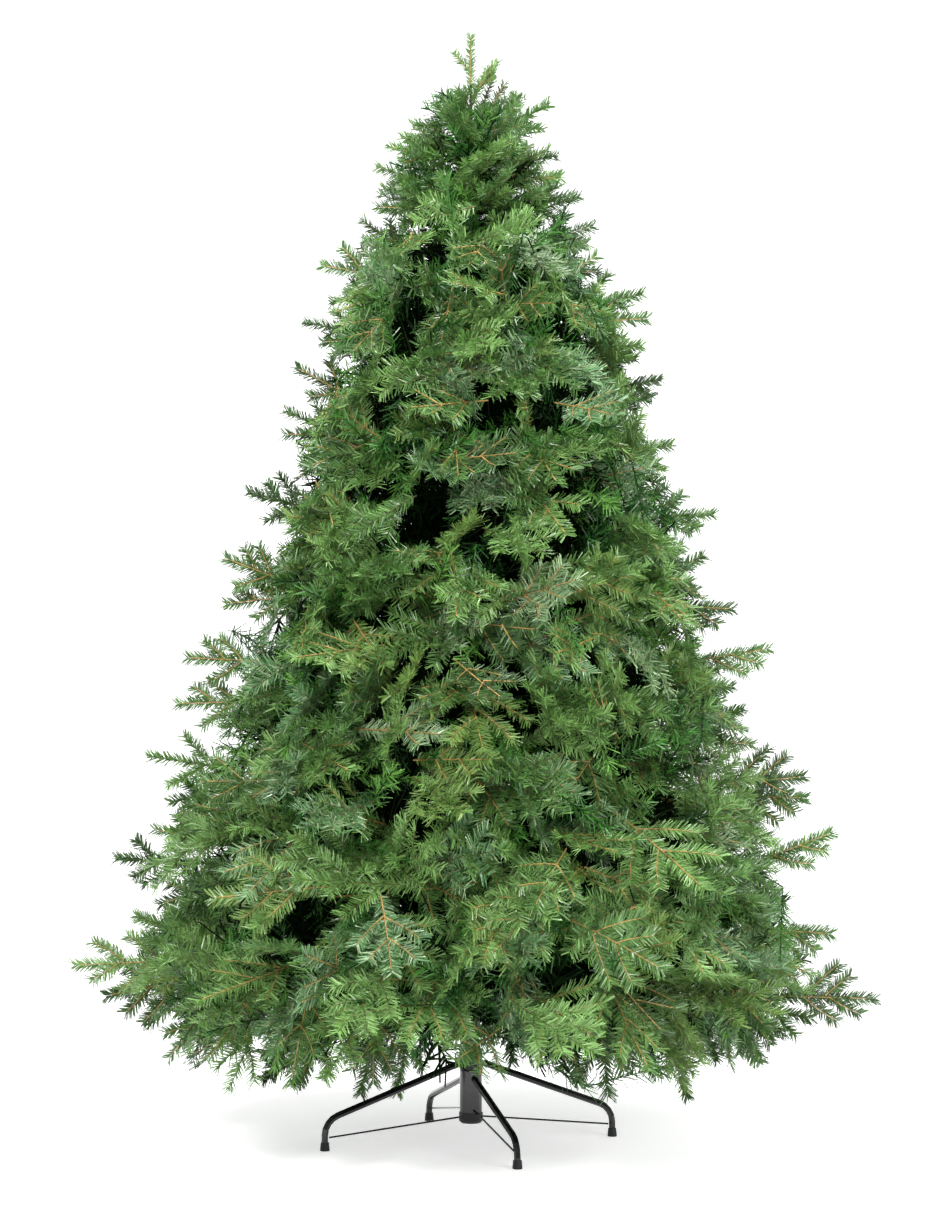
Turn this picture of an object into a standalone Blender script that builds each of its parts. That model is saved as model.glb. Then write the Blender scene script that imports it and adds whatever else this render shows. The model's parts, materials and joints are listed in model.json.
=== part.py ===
"""Artificial spruce Christmas tree on a four-legged steel stand.

The frame is in metres with +Z up. The origin is on the floor, on the pole's axis,
and -Y faces the viewer. Part names end in the tier and the place round the pole.
"""

import math
import random

import bmesh
import bpy
from mathutils import Matrix, Vector
from mathutils.bvhtree import BVHTree

TREE = "christmas_tree"

# The tree's overall size, and the outline that the needle tips reach
TREE_HEIGHT = 2.10
CROWN_REACH = 0.780
CROWN_WIDEST = 0.30
CROWN_LOWEST = 0.138
CROWN_UNDERCUT = 1.10
CROWN_SLACK = 0.015
CROWN_CURVE = 0.75
LAYER_RISE = math.tan(math.radians(17))
LAYER_FALL = math.tan(math.radians(12))
LAYER_BEND = 0.62
SPACE_GAP = 0.005
POLE_CLEAR = 0.034

# Each tier is a layer of the crown, shared out between its masses. Its faces rise from
# the pole and then fall towards the tips. low, limb and high are where its lower face, its
# boughs and its upper face meet the pole's axis. top and foot are the heights in the
# layer, from 0 to 1, between which its sprays aim. turn is where the first mass faces, in
# degrees, fan is the count of a mass's twigs, and spray is the length of its sprays.
TIER_KEYS = ("low", "limb", "high", "foot", "top", "masses", "turn", "fan", "spray")
TIER_ROWS = (
    (-0.02, 0.197, 0.385, 0.26, 0.92, 6, 3, 4, 0.27),
    (0.385, 0.480, 0.630, 0.04, 0.88, 5, 26, 4, 0.25),
    (0.630, 0.725, 0.870, 0.04, 0.88, 5, 62, 4, 0.24),
    (0.870, 0.965, 1.115, 0.04, 0.88, 4, 5, 4, 0.22),
    (1.115, 1.225, 1.380, 0.03, 0.90, 3, 38, 4, 0.20),
    (1.380, 1.495, 1.665, 0.03, 0.92, 3, 95, 4, 0.18),
)
TIERS = [dict(zip(TIER_KEYS, row)) for row in TIER_ROWS]
TIERS_WITH_BOUGHS = 3
MASS_SEED = 11
TIER_SEED = 1000

# Where the sprays of one fan aim: height between foot and top, and shares of the fans'
# spacing to one side. The tips stop short of the outline by as much as TIP_BACK.
FAN_AIMS = ((0.06, 0.30), (0.48, -0.80), (0.92, 0.55))
FAN_CENTRE = 0.50
CROWDED_TIERS = (1, 2)
UNDER_ROW_REACH = (0.60, 0.80)
UNDER_ROW_HEIGHT = 0.006
STAGGER = 0.09
TIP_BACK = (-0.010, 0.050)

# Boughs, the stems that carry on from them, and the twigs of a fan
BOUGH_ROOT_RADIUS = 0.0070
BOUGH_MIDDLE_RADIUS = 0.0064
BOUGH_TIP_RADIUS = 0.0050
BOUGH_THICK_LENGTH = 0.020
BOUGH_SHARE = 0.34
STEM_RADIUS = 0.0050
STEM_TIP_RADIUS = 0.0035
STEM_SHARE = 0.60
TWIG_RADIUS = 0.0036
TWIG_TIP_RADIUS = 0.0030
TWIG_SIDES = 3
FAN_SPREAD = 0.76
FAN_LEAN = 0.9
FAN_WANDER = 0.05
FAN_FROM_ROOT = 0.012
FAN_FROM_TIP = 0.004
LEVEL_WANDER = 0.03
LEVEL_MOST = 0.97
ROOTS_ON_TWIG = (1.0, 0.94)
TWIG_SHARE = 0.63
JOINT_GAP = 0.0004
SUNK = 0.006
SPRAY_SUNK = 0.0024
LIMB_CLEAR = 0.012

# The core that fills the middle of a mass: each column is a section across its wedge, by
# the share of the half angle, of the layer's depth and of the reach that it takes
CORE_SHARE = 0.70
CORE_CLEAR = 0.009
CORE_COLUMNS = (
    (-1.0, 0.93, 0.93),
    (-0.5, 0.99, 1.00),
    (0.0, 1.00, 1.04),
    (0.5, 0.99, 1.00),
    (1.0, 0.93, 0.93),
)
CORE_SECTION = ((-1.0, 0.0), (-1.0, 0.91), (-0.25, 1.03), (0.5, 1.02), (1.0, 0.94), (1.0, 0.0))
CORE_LUMPS = (0.94, 1.02)
CORE_FOOT = 0.045
CORE_LOWEST = 0.176
CORE_SIDE_CLEAR = 0.003
CORE_SEED = 5000
CORE_TIER_SEED = 100

# A spray: half of its outline, from root to tip, as shares of its length, and the point
# under its raised middle. Its three fingers are side twigs thick with needles.
SPRAY_HALF = ((0.30, 0.065), (0.58, 0.370), (0.72, 0.280), (0.54, 0.095))
SPRAY_MIDDLE = 0.42
SPRAY_THICKNESS = 0.050
SPRAY_DROOP = 0.05
SPRAY_ROLL = (0, 42)
SPRAY_TILT = 0.4
ROLL_GROWTH = 4
LEADER_ROLL = (15, 60)
SPRAY_FINGERS = ((1, 2, 3, 4), (4, 5, 6), (6, 7, 8, 9))
SPRAY_APART = 0.004
SPRAY_TRIES = 14
SPRAY_SHRINK = 0.016
SPRAY_SIZES = (1.06, 1.0, 0.95, 0.90, 0.85)
SPRAY_LENGTHS = (0.72, 1.12)
SPRAY_WANDER = 0.05
WANDER_GROWTH = 0.06

# The leader above the pole: rings of sprays by height, count, length, lift and turn
LEADER_FOOT = 1.67
LEADER_TOP = 2.00
LEADER_RINGS = (
    (1.725, 6, 0.250, 4, 0),
    (1.768, 6, 0.225, 11, 5),
    (1.812, 5, 0.205, 19, 352),
    (1.852, 4, 0.188, 31, 350),
    (1.903, 3, 0.150, 40, 12),
    (1.958, 1, 0.105, 55, 352),
)
LEADER_TIP_SPRAY = 0.112
LEADER_SEED = 77
LEADER_TURN_WANDER = 9
LEADER_LIFT_WANDER = 6
LEADER_HEIGHT_WANDER = 0.012
LEADER_SIZES = (0.94, 1.06)
LEADER_CORE = ((1.694, 0.040), (1.732, 0.145), (1.800, 0.120), (1.875, 0.085), (1.965, 0.032))
LEADER_CORE_STEPS = 8

# The pole's sections by top height and radius, and the rings that its boughs hook into
POLE_SECTIONS = ((0.72, 0.0160), (1.32, 0.0135), (LEADER_FOOT, 0.0100))
POLE_RING_RADIUS = 0.0215
POLE_RING_HEIGHT = 0.018
POLE_STEPS = 10

# The stand: one pair of legs hangs on the sleeve and the other on its two collars
SLEEVE_RADIUS = 0.0210
SLEEVE_WALL = 0.0035
SLEEVE_FOOT = 0.0590
SLEEVE_TOP = 0.1380
COLLAR_RADIUS = 0.0216
COLLAR_TOP = 0.1780
COLLAR_EDGE = 0.0025
CAP_RADIUS = 0.0225
CAP_FOOT = 0.0390
CAP_FLOOR = 0.0430
CAP_EDGE = 0.0038
EDGE = 0.0008
STAND_STEPS = 18
LEG_RADIUS = 0.0064
LEG_BEND_RADIUS = 0.038
LEG_BEND_POINTS = 5
LEG_REACH = 0.2816
LEG_KEYS = ("names", "azimuth", "hub", "hook", "slope", "rod")
LEG_ROWS = (
    (("right", "left"), 17, COLLAR_RADIUS, 0.1495, 20.3, (0.050, 0.024)),
    (("back", "front"), 107, SLEEVE_RADIUS, 0.1230, 16.3, (0.064, 0.026)),
)
LEG_PAIRS = [dict(zip(LEG_KEYS, row)) for row in LEG_ROWS]
FOOT_HEIGHT = 0.0155
FOOT_TOP_RADIUS = 0.0078
FOOT_RADIUS = 0.0090
FOOT_LIP = 0.0030
FOOT_STEPS = 12
ROD_RADIUS = 0.0019
EYE_AZIMUTH = 225
EYE_HEIGHT = 0.167
EYE_RING_RADIUS = 0.0062
EYE_WIRE = 0.0014
EYE_SHANK = 0.0072
EYE_SHANK_RADIUS = 0.0017
EYE_SIDES = 8

COLOURS = {
    "needles": ((0.060, 0.165, 0.050), 0.62, 0.0),
    "wrapped_wire": ((0.050, 0.085, 0.035), 0.70, 0.0),
    "black_steel": ((0.020, 0.020, 0.024), 0.34, 0.6),
    "black_plastic": ((0.016, 0.016, 0.018), 0.55, 0.0),
}


# Scene, collections and materials


def clear_scene():
    for old in list(bpy.data.objects):
        bpy.data.objects.remove(old, do_unlink=True)


def collection(name):
    made = bpy.data.collections.new(name)
    bpy.context.scene.collection.children.link(made)
    return made


def material(name):
    """The Principled material of that name, made once."""
    found = bpy.data.materials.get(name)
    if found:
        return found
    colour, roughness, metallic = COLOURS[name]
    made = bpy.data.materials.new(name)
    made.use_nodes = True
    shader = made.node_tree.nodes["Principled BSDF"]
    shader.inputs["Base Color"].default_value = (*colour, 1.0)
    shader.inputs["Roughness"].default_value = roughness
    shader.inputs["Metallic"].default_value = metallic
    made.diffuse_color = (*colour, 1.0)
    return made


def add_object(name, data, finish, home):
    made = bpy.data.objects.new(name, data)
    home.objects.link(made)
    data.materials.append(material(finish))
    return made


# Shapes


def tube(name, points, radii, finish, home, resolution=1):
    """A round bar along points, with a radius at each one."""
    data = bpy.data.curves.new(name, "CURVE")
    data.dimensions = "3D"
    data.bevel_depth = 1.0
    data.bevel_resolution = resolution
    data.use_fill_caps = True
    spline = data.splines.new("POLY")
    spline.points.add(len(points) - 1)
    for knot, place, radius in zip(spline.points, points, radii):
        knot.co = (*place, 1.0)
        knot.radius = radius
    spline.use_smooth = True
    return add_object(name, data, finish, home)


def turned(name, profile, steps, finish, home, closed=False):
    """A profile of (radius, height) turned about Z. It starts at the top of its outer side."""
    data = bpy.data.meshes.new(name)
    edges = [(i, i + 1) for i in range(len(profile) - 1)]
    if closed:
        edges.append((len(profile) - 1, 0))
    data.from_pydata([(radius, 0.0, height) for radius, height in profile], edges, [])
    made = add_object(name, data, finish, home)
    screw = made.modifiers.new("turn", "SCREW")
    screw.steps = steps
    screw.render_steps = steps
    screw.use_merge_vertices = True
    screw.merge_threshold = 0.00005
    screw.use_smooth_shade = True
    return made


def aim(direction, side):
    """The rotation whose X is direction and whose Y is as near to side as can be."""
    x = direction.normalized()
    z = x.cross(side).normalized()
    return Matrix((x, z.cross(x), z)).transposed()


def limb_mesh(bm, start, end, radius, tip_radius, sides):
    """A straight tapering limb with flat ends, added to bm."""
    way = end - start
    place = Matrix.Translation((start + end) / 2) @ way.to_track_quat("Z", "Y").to_matrix().to_4x4()
    bmesh.ops.create_cone(
        bm,
        cap_ends=True,
        segments=sides,
        radius1=radius,
        radius2=tip_radius,
        depth=way.length,
        matrix=place,
    )


def spray_points(root, direction, side, length):
    """A spray's outline in order round it from its root, then the two points of its raised middle."""
    turn = aim(direction, side)

    def place(along, across, up):
        droop = SPRAY_DROOP * along * along
        return root + turn @ Vector((along, across, up)) * length - Vector((0, 0, droop * length))

    half = [place(along, across, 0) for along, across in SPRAY_HALF]
    other = [place(along, -across, 0) for along, across in reversed(SPRAY_HALF)]
    raised = [place(SPRAY_MIDDLE, 0, up * SPRAY_THICKNESS / 2) for up in (1, -1)]
    return [root, *half, place(1, 0, 0), *other], raised


def spray_mesh(bm, outline, raised):
    """The closed blade: a fan of faces from each raised point to the outline."""
    rim = [bm.verts.new(p) for p in outline]
    top, under = (bm.verts.new(p) for p in raised)
    for a, b in zip(rim, [*rim[1:], rim[0]]):
        bm.faces.new((b, a, top))
        bm.faces.new((a, b, under))


# The growth rule


def outward(azimuth):
    return Vector((math.cos(azimuth), math.sin(azimuth), 0))


def crown_reach(height):
    """The crown's outer radius at that height."""
    if height < CROWN_WIDEST:
        return CROWN_REACH - (CROWN_WIDEST - height) * CROWN_UNDERCUT
    share = (TREE_HEIGHT - height) / (TREE_HEIGHT - CROWN_WIDEST)
    return CROWN_REACH * max(0.0, share) ** CROWN_CURVE


def layer_height(level, radius):
    """The height at radius of the layer face that meets the axis at level."""
    bend = LAYER_BEND * crown_reach(max(level, CROWN_WIDEST))
    return level + LAYER_RISE * min(radius, bend) - LAYER_FALL * max(0.0, radius - bend)


def layer_level(point, radius):
    """The level of the layer face through the point."""
    level = point.z
    for _ in range(6):
        level += point.z - layer_height(level, radius)
    return level


def on_layer(azimuth, level, radius):
    return outward(azimuth) * radius + Vector((0, 0, layer_height(level, radius)))


def outline_radius(level):
    """How far out the layer face at level meets the crown's outline."""
    radius = CROWN_REACH / 2
    for _ in range(30):
        radius = (radius + crown_reach(layer_height(level, radius))) / 2
    return radius


def root_clear(radius):
    """How far off a limb's root is set, so that its tilted end clears what it meets."""
    return JOINT_GAP + radius * math.sin(math.atan(LAYER_RISE))


class Space:
    """One mass's share of the crown: a wedge of one layer, or all of it for the leader."""

    def __init__(self, low, high, limb=0.0, azimuth=0.0, half_angle=None, inner=0.0):
        self.low = low
        self.high = high
        self.limb = limb
        self.azimuth = azimuth
        self.half_angle = half_angle
        self.inner = inner

    def to_side(self, point, radius):
        """How far the point is inside the wedge's two upright faces."""
        if self.half_angle is None:
            return math.inf
        off = (math.atan2(point.y, point.x) - self.azimuth + math.pi) % (2 * math.pi) - math.pi
        return radius * math.sin(min(math.pi / 2, self.half_angle - abs(off)))

    def holds(self, point, margin=0.0):
        """True if the point is in this space, clear of its faces by margin."""
        clear = SPACE_GAP / 2 + margin
        radius = math.hypot(point.x, point.y)
        level = layer_level(point, radius)
        return (
            self.low + clear < level < self.high - clear
            and self.to_side(point, radius) > clear
            and point.z > CROWN_LOWEST + margin
            and self.inner + margin <= radius < crown_reach(point.z) + CROWN_SLACK
        )

    def limb_point(self, radius):
        """A point along the middle of the wedge, where its bough and stem run."""
        return on_layer(self.azimuth, self.limb, radius)


def tier_space(tier, index):
    half_angle = math.pi / tier["masses"]
    azimuth = math.radians(tier["turn"]) + index * 2 * half_angle
    return Space(tier["low"], tier["high"], tier["limb"], azimuth, half_angle, POLE_CLEAR)


def distance_to_limb(point, start, end):
    way = end - start
    share = max(0.0, min(1.0, (point - start).dot(way) / way.length_squared))
    return (point - start - way * share).length


class Sprays:
    """The sprays of one mass. One that would leave its space or cross another is left out."""

    def __init__(self, dice, fits, roll):
        self.dice = dice
        self.fits = fits
        self.roll = roll
        self.made = []
        self.trees = []

    def add(self, root, direction, length):
        """Tries for a spray from root that faces outwards, each time turned a little more and shorter."""
        for attempt in range(SPRAY_TRIES):
            wander = SPRAY_WANDER + WANDER_GROWTH * attempt
            way = direction + Vector([self.dice.uniform(-wander, wander) for _ in range(3)])
            way.normalize()
            facing = way if root.xy.length < POLE_CLEAR else root
            face = outward(math.atan2(facing.y, facing.x)) + Vector((0, 0, SPRAY_TILT))
            roll = self.dice.uniform(self.roll[0], self.roll[1] + ROLL_GROWTH * attempt)
            roll = math.radians(roll) * self.dice.choice((1, -1))
            side = Matrix.Rotation(roll, 3, way) @ way.cross(face).normalized()
            for share in SPRAY_SIZES:
                size = length * share * (1 - SPRAY_SHRINK * attempt)
                outline, raised = spray_points(root, way, side, size)
                if all(self.fits(p) for p in outline[1:] + raised):
                    break
            else:
                continue
            tree = BVHTree.FromPolygons(outline, SPRAY_FINGERS, epsilon=SPRAY_APART)
            if not any(tree.overlap(other) for other in self.trees):
                self.made.append((root, way, side, size))
                self.trees.append(tree)
                return


def grow_mass(number, index):
    """One mass by the seeded rule: its space, its stem, its twigs and its sprays."""
    tier = TIERS[number]
    dice = random.Random(TIER_SEED * number + index + MASS_SEED)
    space = tier_space(tier, index)
    depth = tier["high"] - tier["low"]
    reach = outline_radius(space.limb)
    if number < TIERS_WITH_BOUGHS:
        inner = BOUGH_SHARE * reach
    else:
        inner = pole_radius(space.limb) + root_clear(STEM_RADIUS)
    stem = (space.limb_point(inner), space.limb_point(STEM_SHARE * reach))
    bough = (space.limb_point(POLE_RING_RADIUS), space.limb_point(inner - SUNK))

    def fits(point):
        return space.holds(point) and distance_to_limb(point, *bough) > LIMB_CLEAR

    twigs, sprays = [], Sprays(dice, fits, SPRAY_ROLL)
    fan, length = tier["fan"], tier["spray"]
    for place in range(fan):
        lean = FAN_SPREAD * (2 * place / (fan - 1) - 1) + dice.uniform(-FAN_WANDER, FAN_WANDER)
        turn = lean * space.half_angle
        azimuth = space.azimuth + turn
        stagger = STAGGER * (1 if place % 2 else -1)
        centre = tier["foot"] + (tier["top"] - tier["foot"]) * (FAN_CENTRE + stagger)
        level = tier["low"] + depth * centre
        end = on_layer(azimuth, level, TWIG_SHARE * outline_radius(level))
        along = end.xy.length * (math.cos(turn) - FAN_LEAN * abs(math.sin(turn)))
        along = min(stem[1].xy.length - FAN_FROM_TIP, along)
        along = max(stem[0].xy.length + FAN_FROM_ROOT, along)
        start = space.limb_point(along)
        twigs.append((start, end))
        targets = []
        mirror = 1 if place % 2 else -1
        skip_last = number in CROWDED_TIERS and place % 2
        for up, across in FAN_AIMS[:-1] if skip_last else FAN_AIMS:
            heading = azimuth + mirror * across * FAN_SPREAD * space.half_angle / (fan - 1)
            share = tier["foot"] + (tier["top"] - tier["foot"]) * (up + stagger / 2)
            share += dice.uniform(-LEVEL_WANDER, LEVEL_WANDER)
            level = tier["low"] + depth * min(LEVEL_MOST, share)
            targets.append(on_layer(heading, level, outline_radius(level) - dice.uniform(*TIP_BACK)))
        if number == 0:
            share = dice.uniform(*UNDER_ROW_REACH)
            foot = Vector((0, 0, CROWN_LOWEST + UNDER_ROW_HEIGHT))
            targets.append(outward(azimuth) * share * CROWN_REACH + foot)
        for row, target in enumerate(targets):
            root = start.lerp(end, ROOTS_ON_TWIG[row % len(ROOTS_ON_TWIG)])
            way = target - root
            shortest, longest = (share * length for share in SPRAY_LENGTHS)
            sprays.add(root, way.normalized(), max(shortest, min(longest, way.length)))
    return space, stem, twigs, sprays.made


def grow_leader():
    """The top of the tree: a stem that carries on from the pole, and its rings of sprays."""
    dice = random.Random(LEADER_SEED)
    space = Space(LEADER_FOOT, 2 * TREE_HEIGHT)
    stem = (Vector((0, 0, LEADER_FOOT + JOINT_GAP)), Vector((0, 0, LEADER_TOP)))
    sprays = Sprays(dice, space.holds, LEADER_ROLL)
    for height, count, length, lift, turn in LEADER_RINGS:
        for place in range(count):
            wander = dice.uniform(-LEADER_TURN_WANDER, LEADER_TURN_WANDER)
            azimuth = math.radians(turn + wander + place * 360 / count)
            rise = math.radians(lift + dice.uniform(-LEADER_LIFT_WANDER, LEADER_LIFT_WANDER))
            way = outward(azimuth) * math.cos(rise) + Vector((0, 0, math.sin(rise)))
            off = dice.uniform(-LEADER_HEIGHT_WANDER, LEADER_HEIGHT_WANDER)
            sprays.add(Vector((0, 0, height + off)), way, length * dice.uniform(*LEADER_SIZES))
    tip = Vector((0, 0, TREE_HEIGHT - LEADER_TIP_SPRAY + SPRAY_SUNK))
    top = (tip, Vector((0, 0, 1)), Vector((1, 0.2, 0)), LEADER_TIP_SPRAY / (1 - SPRAY_DROOP))
    return stem, [*sprays.made, top]


# Foliage solids


def loose_piece(pieces, fill):
    """A helper object whose mesh fill draws, put in the collection that a union joins."""
    bm = bmesh.new()
    fill(bm)
    bmesh.ops.recalc_face_normals(bm, faces=bm.faces)
    data = bpy.data.meshes.new("loose")
    bm.to_mesh(data)
    bm.free()
    made = bpy.data.objects.new("loose", data)
    pieces.objects.link(made)


def core_mesh(bm, space, stem, dice):
    """A lumpy core: sections across the wedge, from its inner edge out to a share of the reach.

    A section's points are shares of its depth and of its reach, with 0 for the inner edge.
    """
    foot = stem[0].xy.length + CORE_FOOT
    low = max(space.low, 0.5 * (CORE_LOWEST - LAYER_RISE * foot))
    middle = (low + space.high) / 2
    half_depth = (space.high - low) / 2 - SPACE_GAP / 2 - CORE_CLEAR
    columns = []
    for across, tall, far in CORE_COLUMNS:
        section = []
        for up, out in CORE_SECTION:
            level = middle + half_depth * tall * up
            reach = outline_radius(level) * CORE_SHARE * dice.uniform(*CORE_LUMPS)
            radius = max(foot, reach * far * out)
            off = space.half_angle - math.asin(min(1.0, (SPACE_GAP / 2 + CORE_SIDE_CLEAR) / radius))
            place = on_layer(space.azimuth + across * off, level, radius)
            place.z = max(place.z, CORE_LOWEST)
            section.append(bm.verts.new(place))
        columns.append(section)
    for left, right in zip(columns, columns[1:]):
        for step in range(len(left)):
            after = (step + 1) % len(left)
            bm.faces.new((left[step], left[after], right[after], right[step]))
    bm.faces.new(columns[0])
    bm.faces.new(columns[-1])


def fused(name, finish, home, pieces):
    """One object from all those in the collection pieces, which are then removed."""
    first, *rest = list(pieces.objects)
    pieces.objects.unlink(first)
    home.objects.link(first)
    first.name = name
    join = first.modifiers.new("join", "BOOLEAN")
    join.operation = "UNION"
    join.operand_type = "COLLECTION"
    join.collection = pieces
    join.solver = "EXACT"
    bpy.context.view_layer.update()
    graph = bpy.context.evaluated_depsgraph_get()
    joined = bpy.data.meshes.new_from_object(first.evaluated_get(graph))
    joined.name = name
    for old in [first, *rest]:
        bpy.data.objects.remove(old, do_unlink=True)
    bpy.data.collections.remove(pieces)
    return add_object(name, joined, finish, home)


def leader_core_mesh(bm):
    """The leader's core: a short spindle round its stem."""
    rings = []
    for height, radius in LEADER_CORE:
        turn = Matrix.Translation((0, 0, height)) @ Matrix.Rotation(height * 9, 4, "Z")
        made = bmesh.ops.create_circle(bm, segments=LEADER_CORE_STEPS, radius=radius, matrix=turn)
        rings.append(made["verts"])
    for lower, upper in zip(rings, rings[1:]):
        for step in range(LEADER_CORE_STEPS):
            after = (step + 1) % LEADER_CORE_STEPS
            bm.faces.new((lower[step], lower[after], upper[after], upper[step]))
    bm.faces.new(rings[0])
    bm.faces.new(rings[-1])


def add_mass(name, stem, twigs, sprays, home, core):
    """The solid of one dense mass: its stem, core, twigs and sprays."""
    pieces = collection("pieces_" + name)
    loose_piece(pieces, lambda bm: limb_mesh(bm, *stem, STEM_RADIUS, STEM_TIP_RADIUS, TWIG_SIDES + 1))
    loose_piece(pieces, core)
    for start, end in twigs:
        tip = end + (end - start).normalized() * SUNK
        shape = (start, tip, TWIG_RADIUS, TWIG_TIP_RADIUS, TWIG_SIDES)
        loose_piece(pieces, lambda bm: limb_mesh(bm, *shape))
    for root, direction, side, length in sprays:
        sunk_root = root - direction * SPRAY_SUNK
        shape = spray_points(sunk_root, direction, side, length)
        loose_piece(pieces, lambda bm: spray_mesh(bm, *shape))
    return fused(name, "needles", home, pieces)


def add_crown(home):
    for number, tier in enumerate(TIERS):
        for index in range(tier["masses"]):
            space, stem, twigs, sprays = grow_mass(number, index)
            label = f"{number + 1}_{index + 1}"
            dice = random.Random(CORE_SEED + CORE_TIER_SEED * number + index)

            def core(bm):
                core_mesh(bm, space, stem, dice)

            add_mass("foliage_" + label, stem, twigs, sprays, home, core)
            if number < TIERS_WITH_BOUGHS:
                add_bough("bough_" + label, space, stem[0], home)
    stem, sprays = grow_leader()
    add_mass("foliage_leader", stem, [], sprays, home, leader_core_mesh)


def add_bough(name, space, stem_start, home):
    """A limb from its ring on the pole to the foot of its mass's stem."""
    inner = stem_start.xy.length - JOINT_GAP
    root = POLE_RING_RADIUS + root_clear(BOUGH_ROOT_RADIUS)
    radii = (root, root + BOUGH_THICK_LENGTH, inner)
    sizes = (BOUGH_ROOT_RADIUS, BOUGH_MIDDLE_RADIUS, BOUGH_TIP_RADIUS)
    tube(name, [space.limb_point(radius) for radius in radii], sizes, "wrapped_wire", home)


# Pole


def pole_radius(height):
    for top, radius in POLE_SECTIONS:
        if height < top:
            return radius
    return POLE_SECTIONS[-1][1]


def ring_heights():
    """Where the rings sit: at the height where each tier's boughs meet the pole."""
    return [tier["limb"] for tier in TIERS[:TIERS_WITH_BOUGHS]]


def add_pole(home):
    """The pole in three thinning sections, with the bough rings on the lower ones."""
    foot = CAP_FLOOR + JOINT_GAP
    profile = [(0.0, foot)]
    for top, radius in POLE_SECTIONS:
        profile += [(radius, foot)]
        for middle in ring_heights():
            if foot < middle < top:
                low, high = middle - POLE_RING_HEIGHT / 2, middle + POLE_RING_HEIGHT / 2
                profile += [(radius, low), (POLE_RING_RADIUS, low)]
                profile += [(POLE_RING_RADIUS, high), (radius, high)]
        profile += [(radius, top)]
        foot = top
    profile += [(0.0, foot)]
    turned("pole", profile[::-1], POLE_STEPS, "black_steel", home)


# Stand


def add_sleeve(home):
    """The open tube that holds the pole, the turning collar on top and the cap that it stands in."""
    bore = SLEEVE_RADIUS - SLEEVE_WALL
    sleeve = [
        (SLEEVE_RADIUS - EDGE, SLEEVE_TOP),
        (SLEEVE_RADIUS, SLEEVE_TOP - EDGE),
        (SLEEVE_RADIUS, SLEEVE_FOOT),
        (bore, SLEEVE_FOOT),
        (bore, SLEEVE_TOP),
    ]
    turned("stand_sleeve", sleeve, STAND_STEPS, "black_steel", home, closed=True)
    collar_foot = SLEEVE_TOP + JOINT_GAP
    collar = [
        (COLLAR_RADIUS - COLLAR_EDGE, COLLAR_TOP),
        (COLLAR_RADIUS, COLLAR_TOP - COLLAR_EDGE),
        (COLLAR_RADIUS, collar_foot + EDGE),
        (COLLAR_RADIUS - EDGE, collar_foot),
        (bore, collar_foot),
        (bore, COLLAR_TOP),
    ]
    turned("stand_collar", collar, STAND_STEPS, "black_plastic", home, closed=True)
    cap_top = SLEEVE_FOOT - JOINT_GAP
    cap = [
        (0.0, CAP_FLOOR),
        (bore, CAP_FLOOR),
        (bore, cap_top),
        (CAP_RADIUS, cap_top),
        (CAP_RADIUS, CAP_FOOT + CAP_EDGE),
        (CAP_RADIUS - CAP_EDGE, CAP_FOOT),
        (0.0, CAP_FOOT),
    ]
    turned("stand_cap", cap, STAND_STEPS, "black_plastic", home)


def leg_route(pair):
    """The leg's centre line as (radius, height): a straight slope, one bend, then upright to its foot."""
    slope = math.radians(pair["slope"])
    top = Vector((pair["hub"] + JOINT_GAP + LEG_RADIUS * math.sin(slope), pair["hook"]))
    turn = math.pi / 2 - slope
    bend_start = LEG_REACH - LEG_BEND_RADIUS * (1 - math.cos(turn))
    drop = (bend_start - top.x) * math.tan(slope) + LEG_BEND_RADIUS * math.sin(turn)
    centre = Vector((LEG_REACH - LEG_BEND_RADIUS, top.y - drop))
    bend = []
    for step in range(LEG_BEND_POINTS):
        angle = turn * (1 - step / (LEG_BEND_POINTS - 1))
        bend.append(centre + LEG_BEND_RADIUS * Vector((math.cos(angle), math.sin(angle))))
    return [top, *bend, Vector((LEG_REACH, FOOT_HEIGHT + JOINT_GAP))]


def add_legs(home):
    """Each leg, its shoe and the thin rod that ties it to the foot of the sleeve."""
    for pair in LEG_PAIRS:
        for name, sign in zip(pair["names"], (1, -1)):
            flat = outward(math.radians(pair["azimuth"])) * sign

            def place(point):
                return flat * point.x + Vector((0, 0, point.y))

            route = [place(point) for point in leg_route(pair)]
            tube("stand_leg_" + name, route, [LEG_RADIUS] * len(route), "black_steel", home, resolution=2)
            foot = [
                (0.0, FOOT_HEIGHT),
                (FOOT_TOP_RADIUS, FOOT_HEIGHT),
                (FOOT_RADIUS, FOOT_LIP),
                (FOOT_RADIUS, 0.0),
                (0.0, 0.0),
            ]
            shoe = turned("stand_foot_" + name, foot, FOOT_STEPS, "black_plastic", home)
            shoe.location = flat * LEG_REACH
            inner_height, outer_height = pair["rod"]
            hub = CAP_RADIUS if inner_height < SLEEVE_FOOT else SLEEVE_RADIUS
            ends = (
                Vector((hub + 2 * JOINT_GAP, inner_height)),
                Vector((LEG_REACH - LEG_RADIUS - 4 * JOINT_GAP, outer_height)),
            )
            tube("stand_rod_" + name, [place(end) for end in ends], [ROD_RADIUS] * 2, "black_steel", home)


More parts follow.
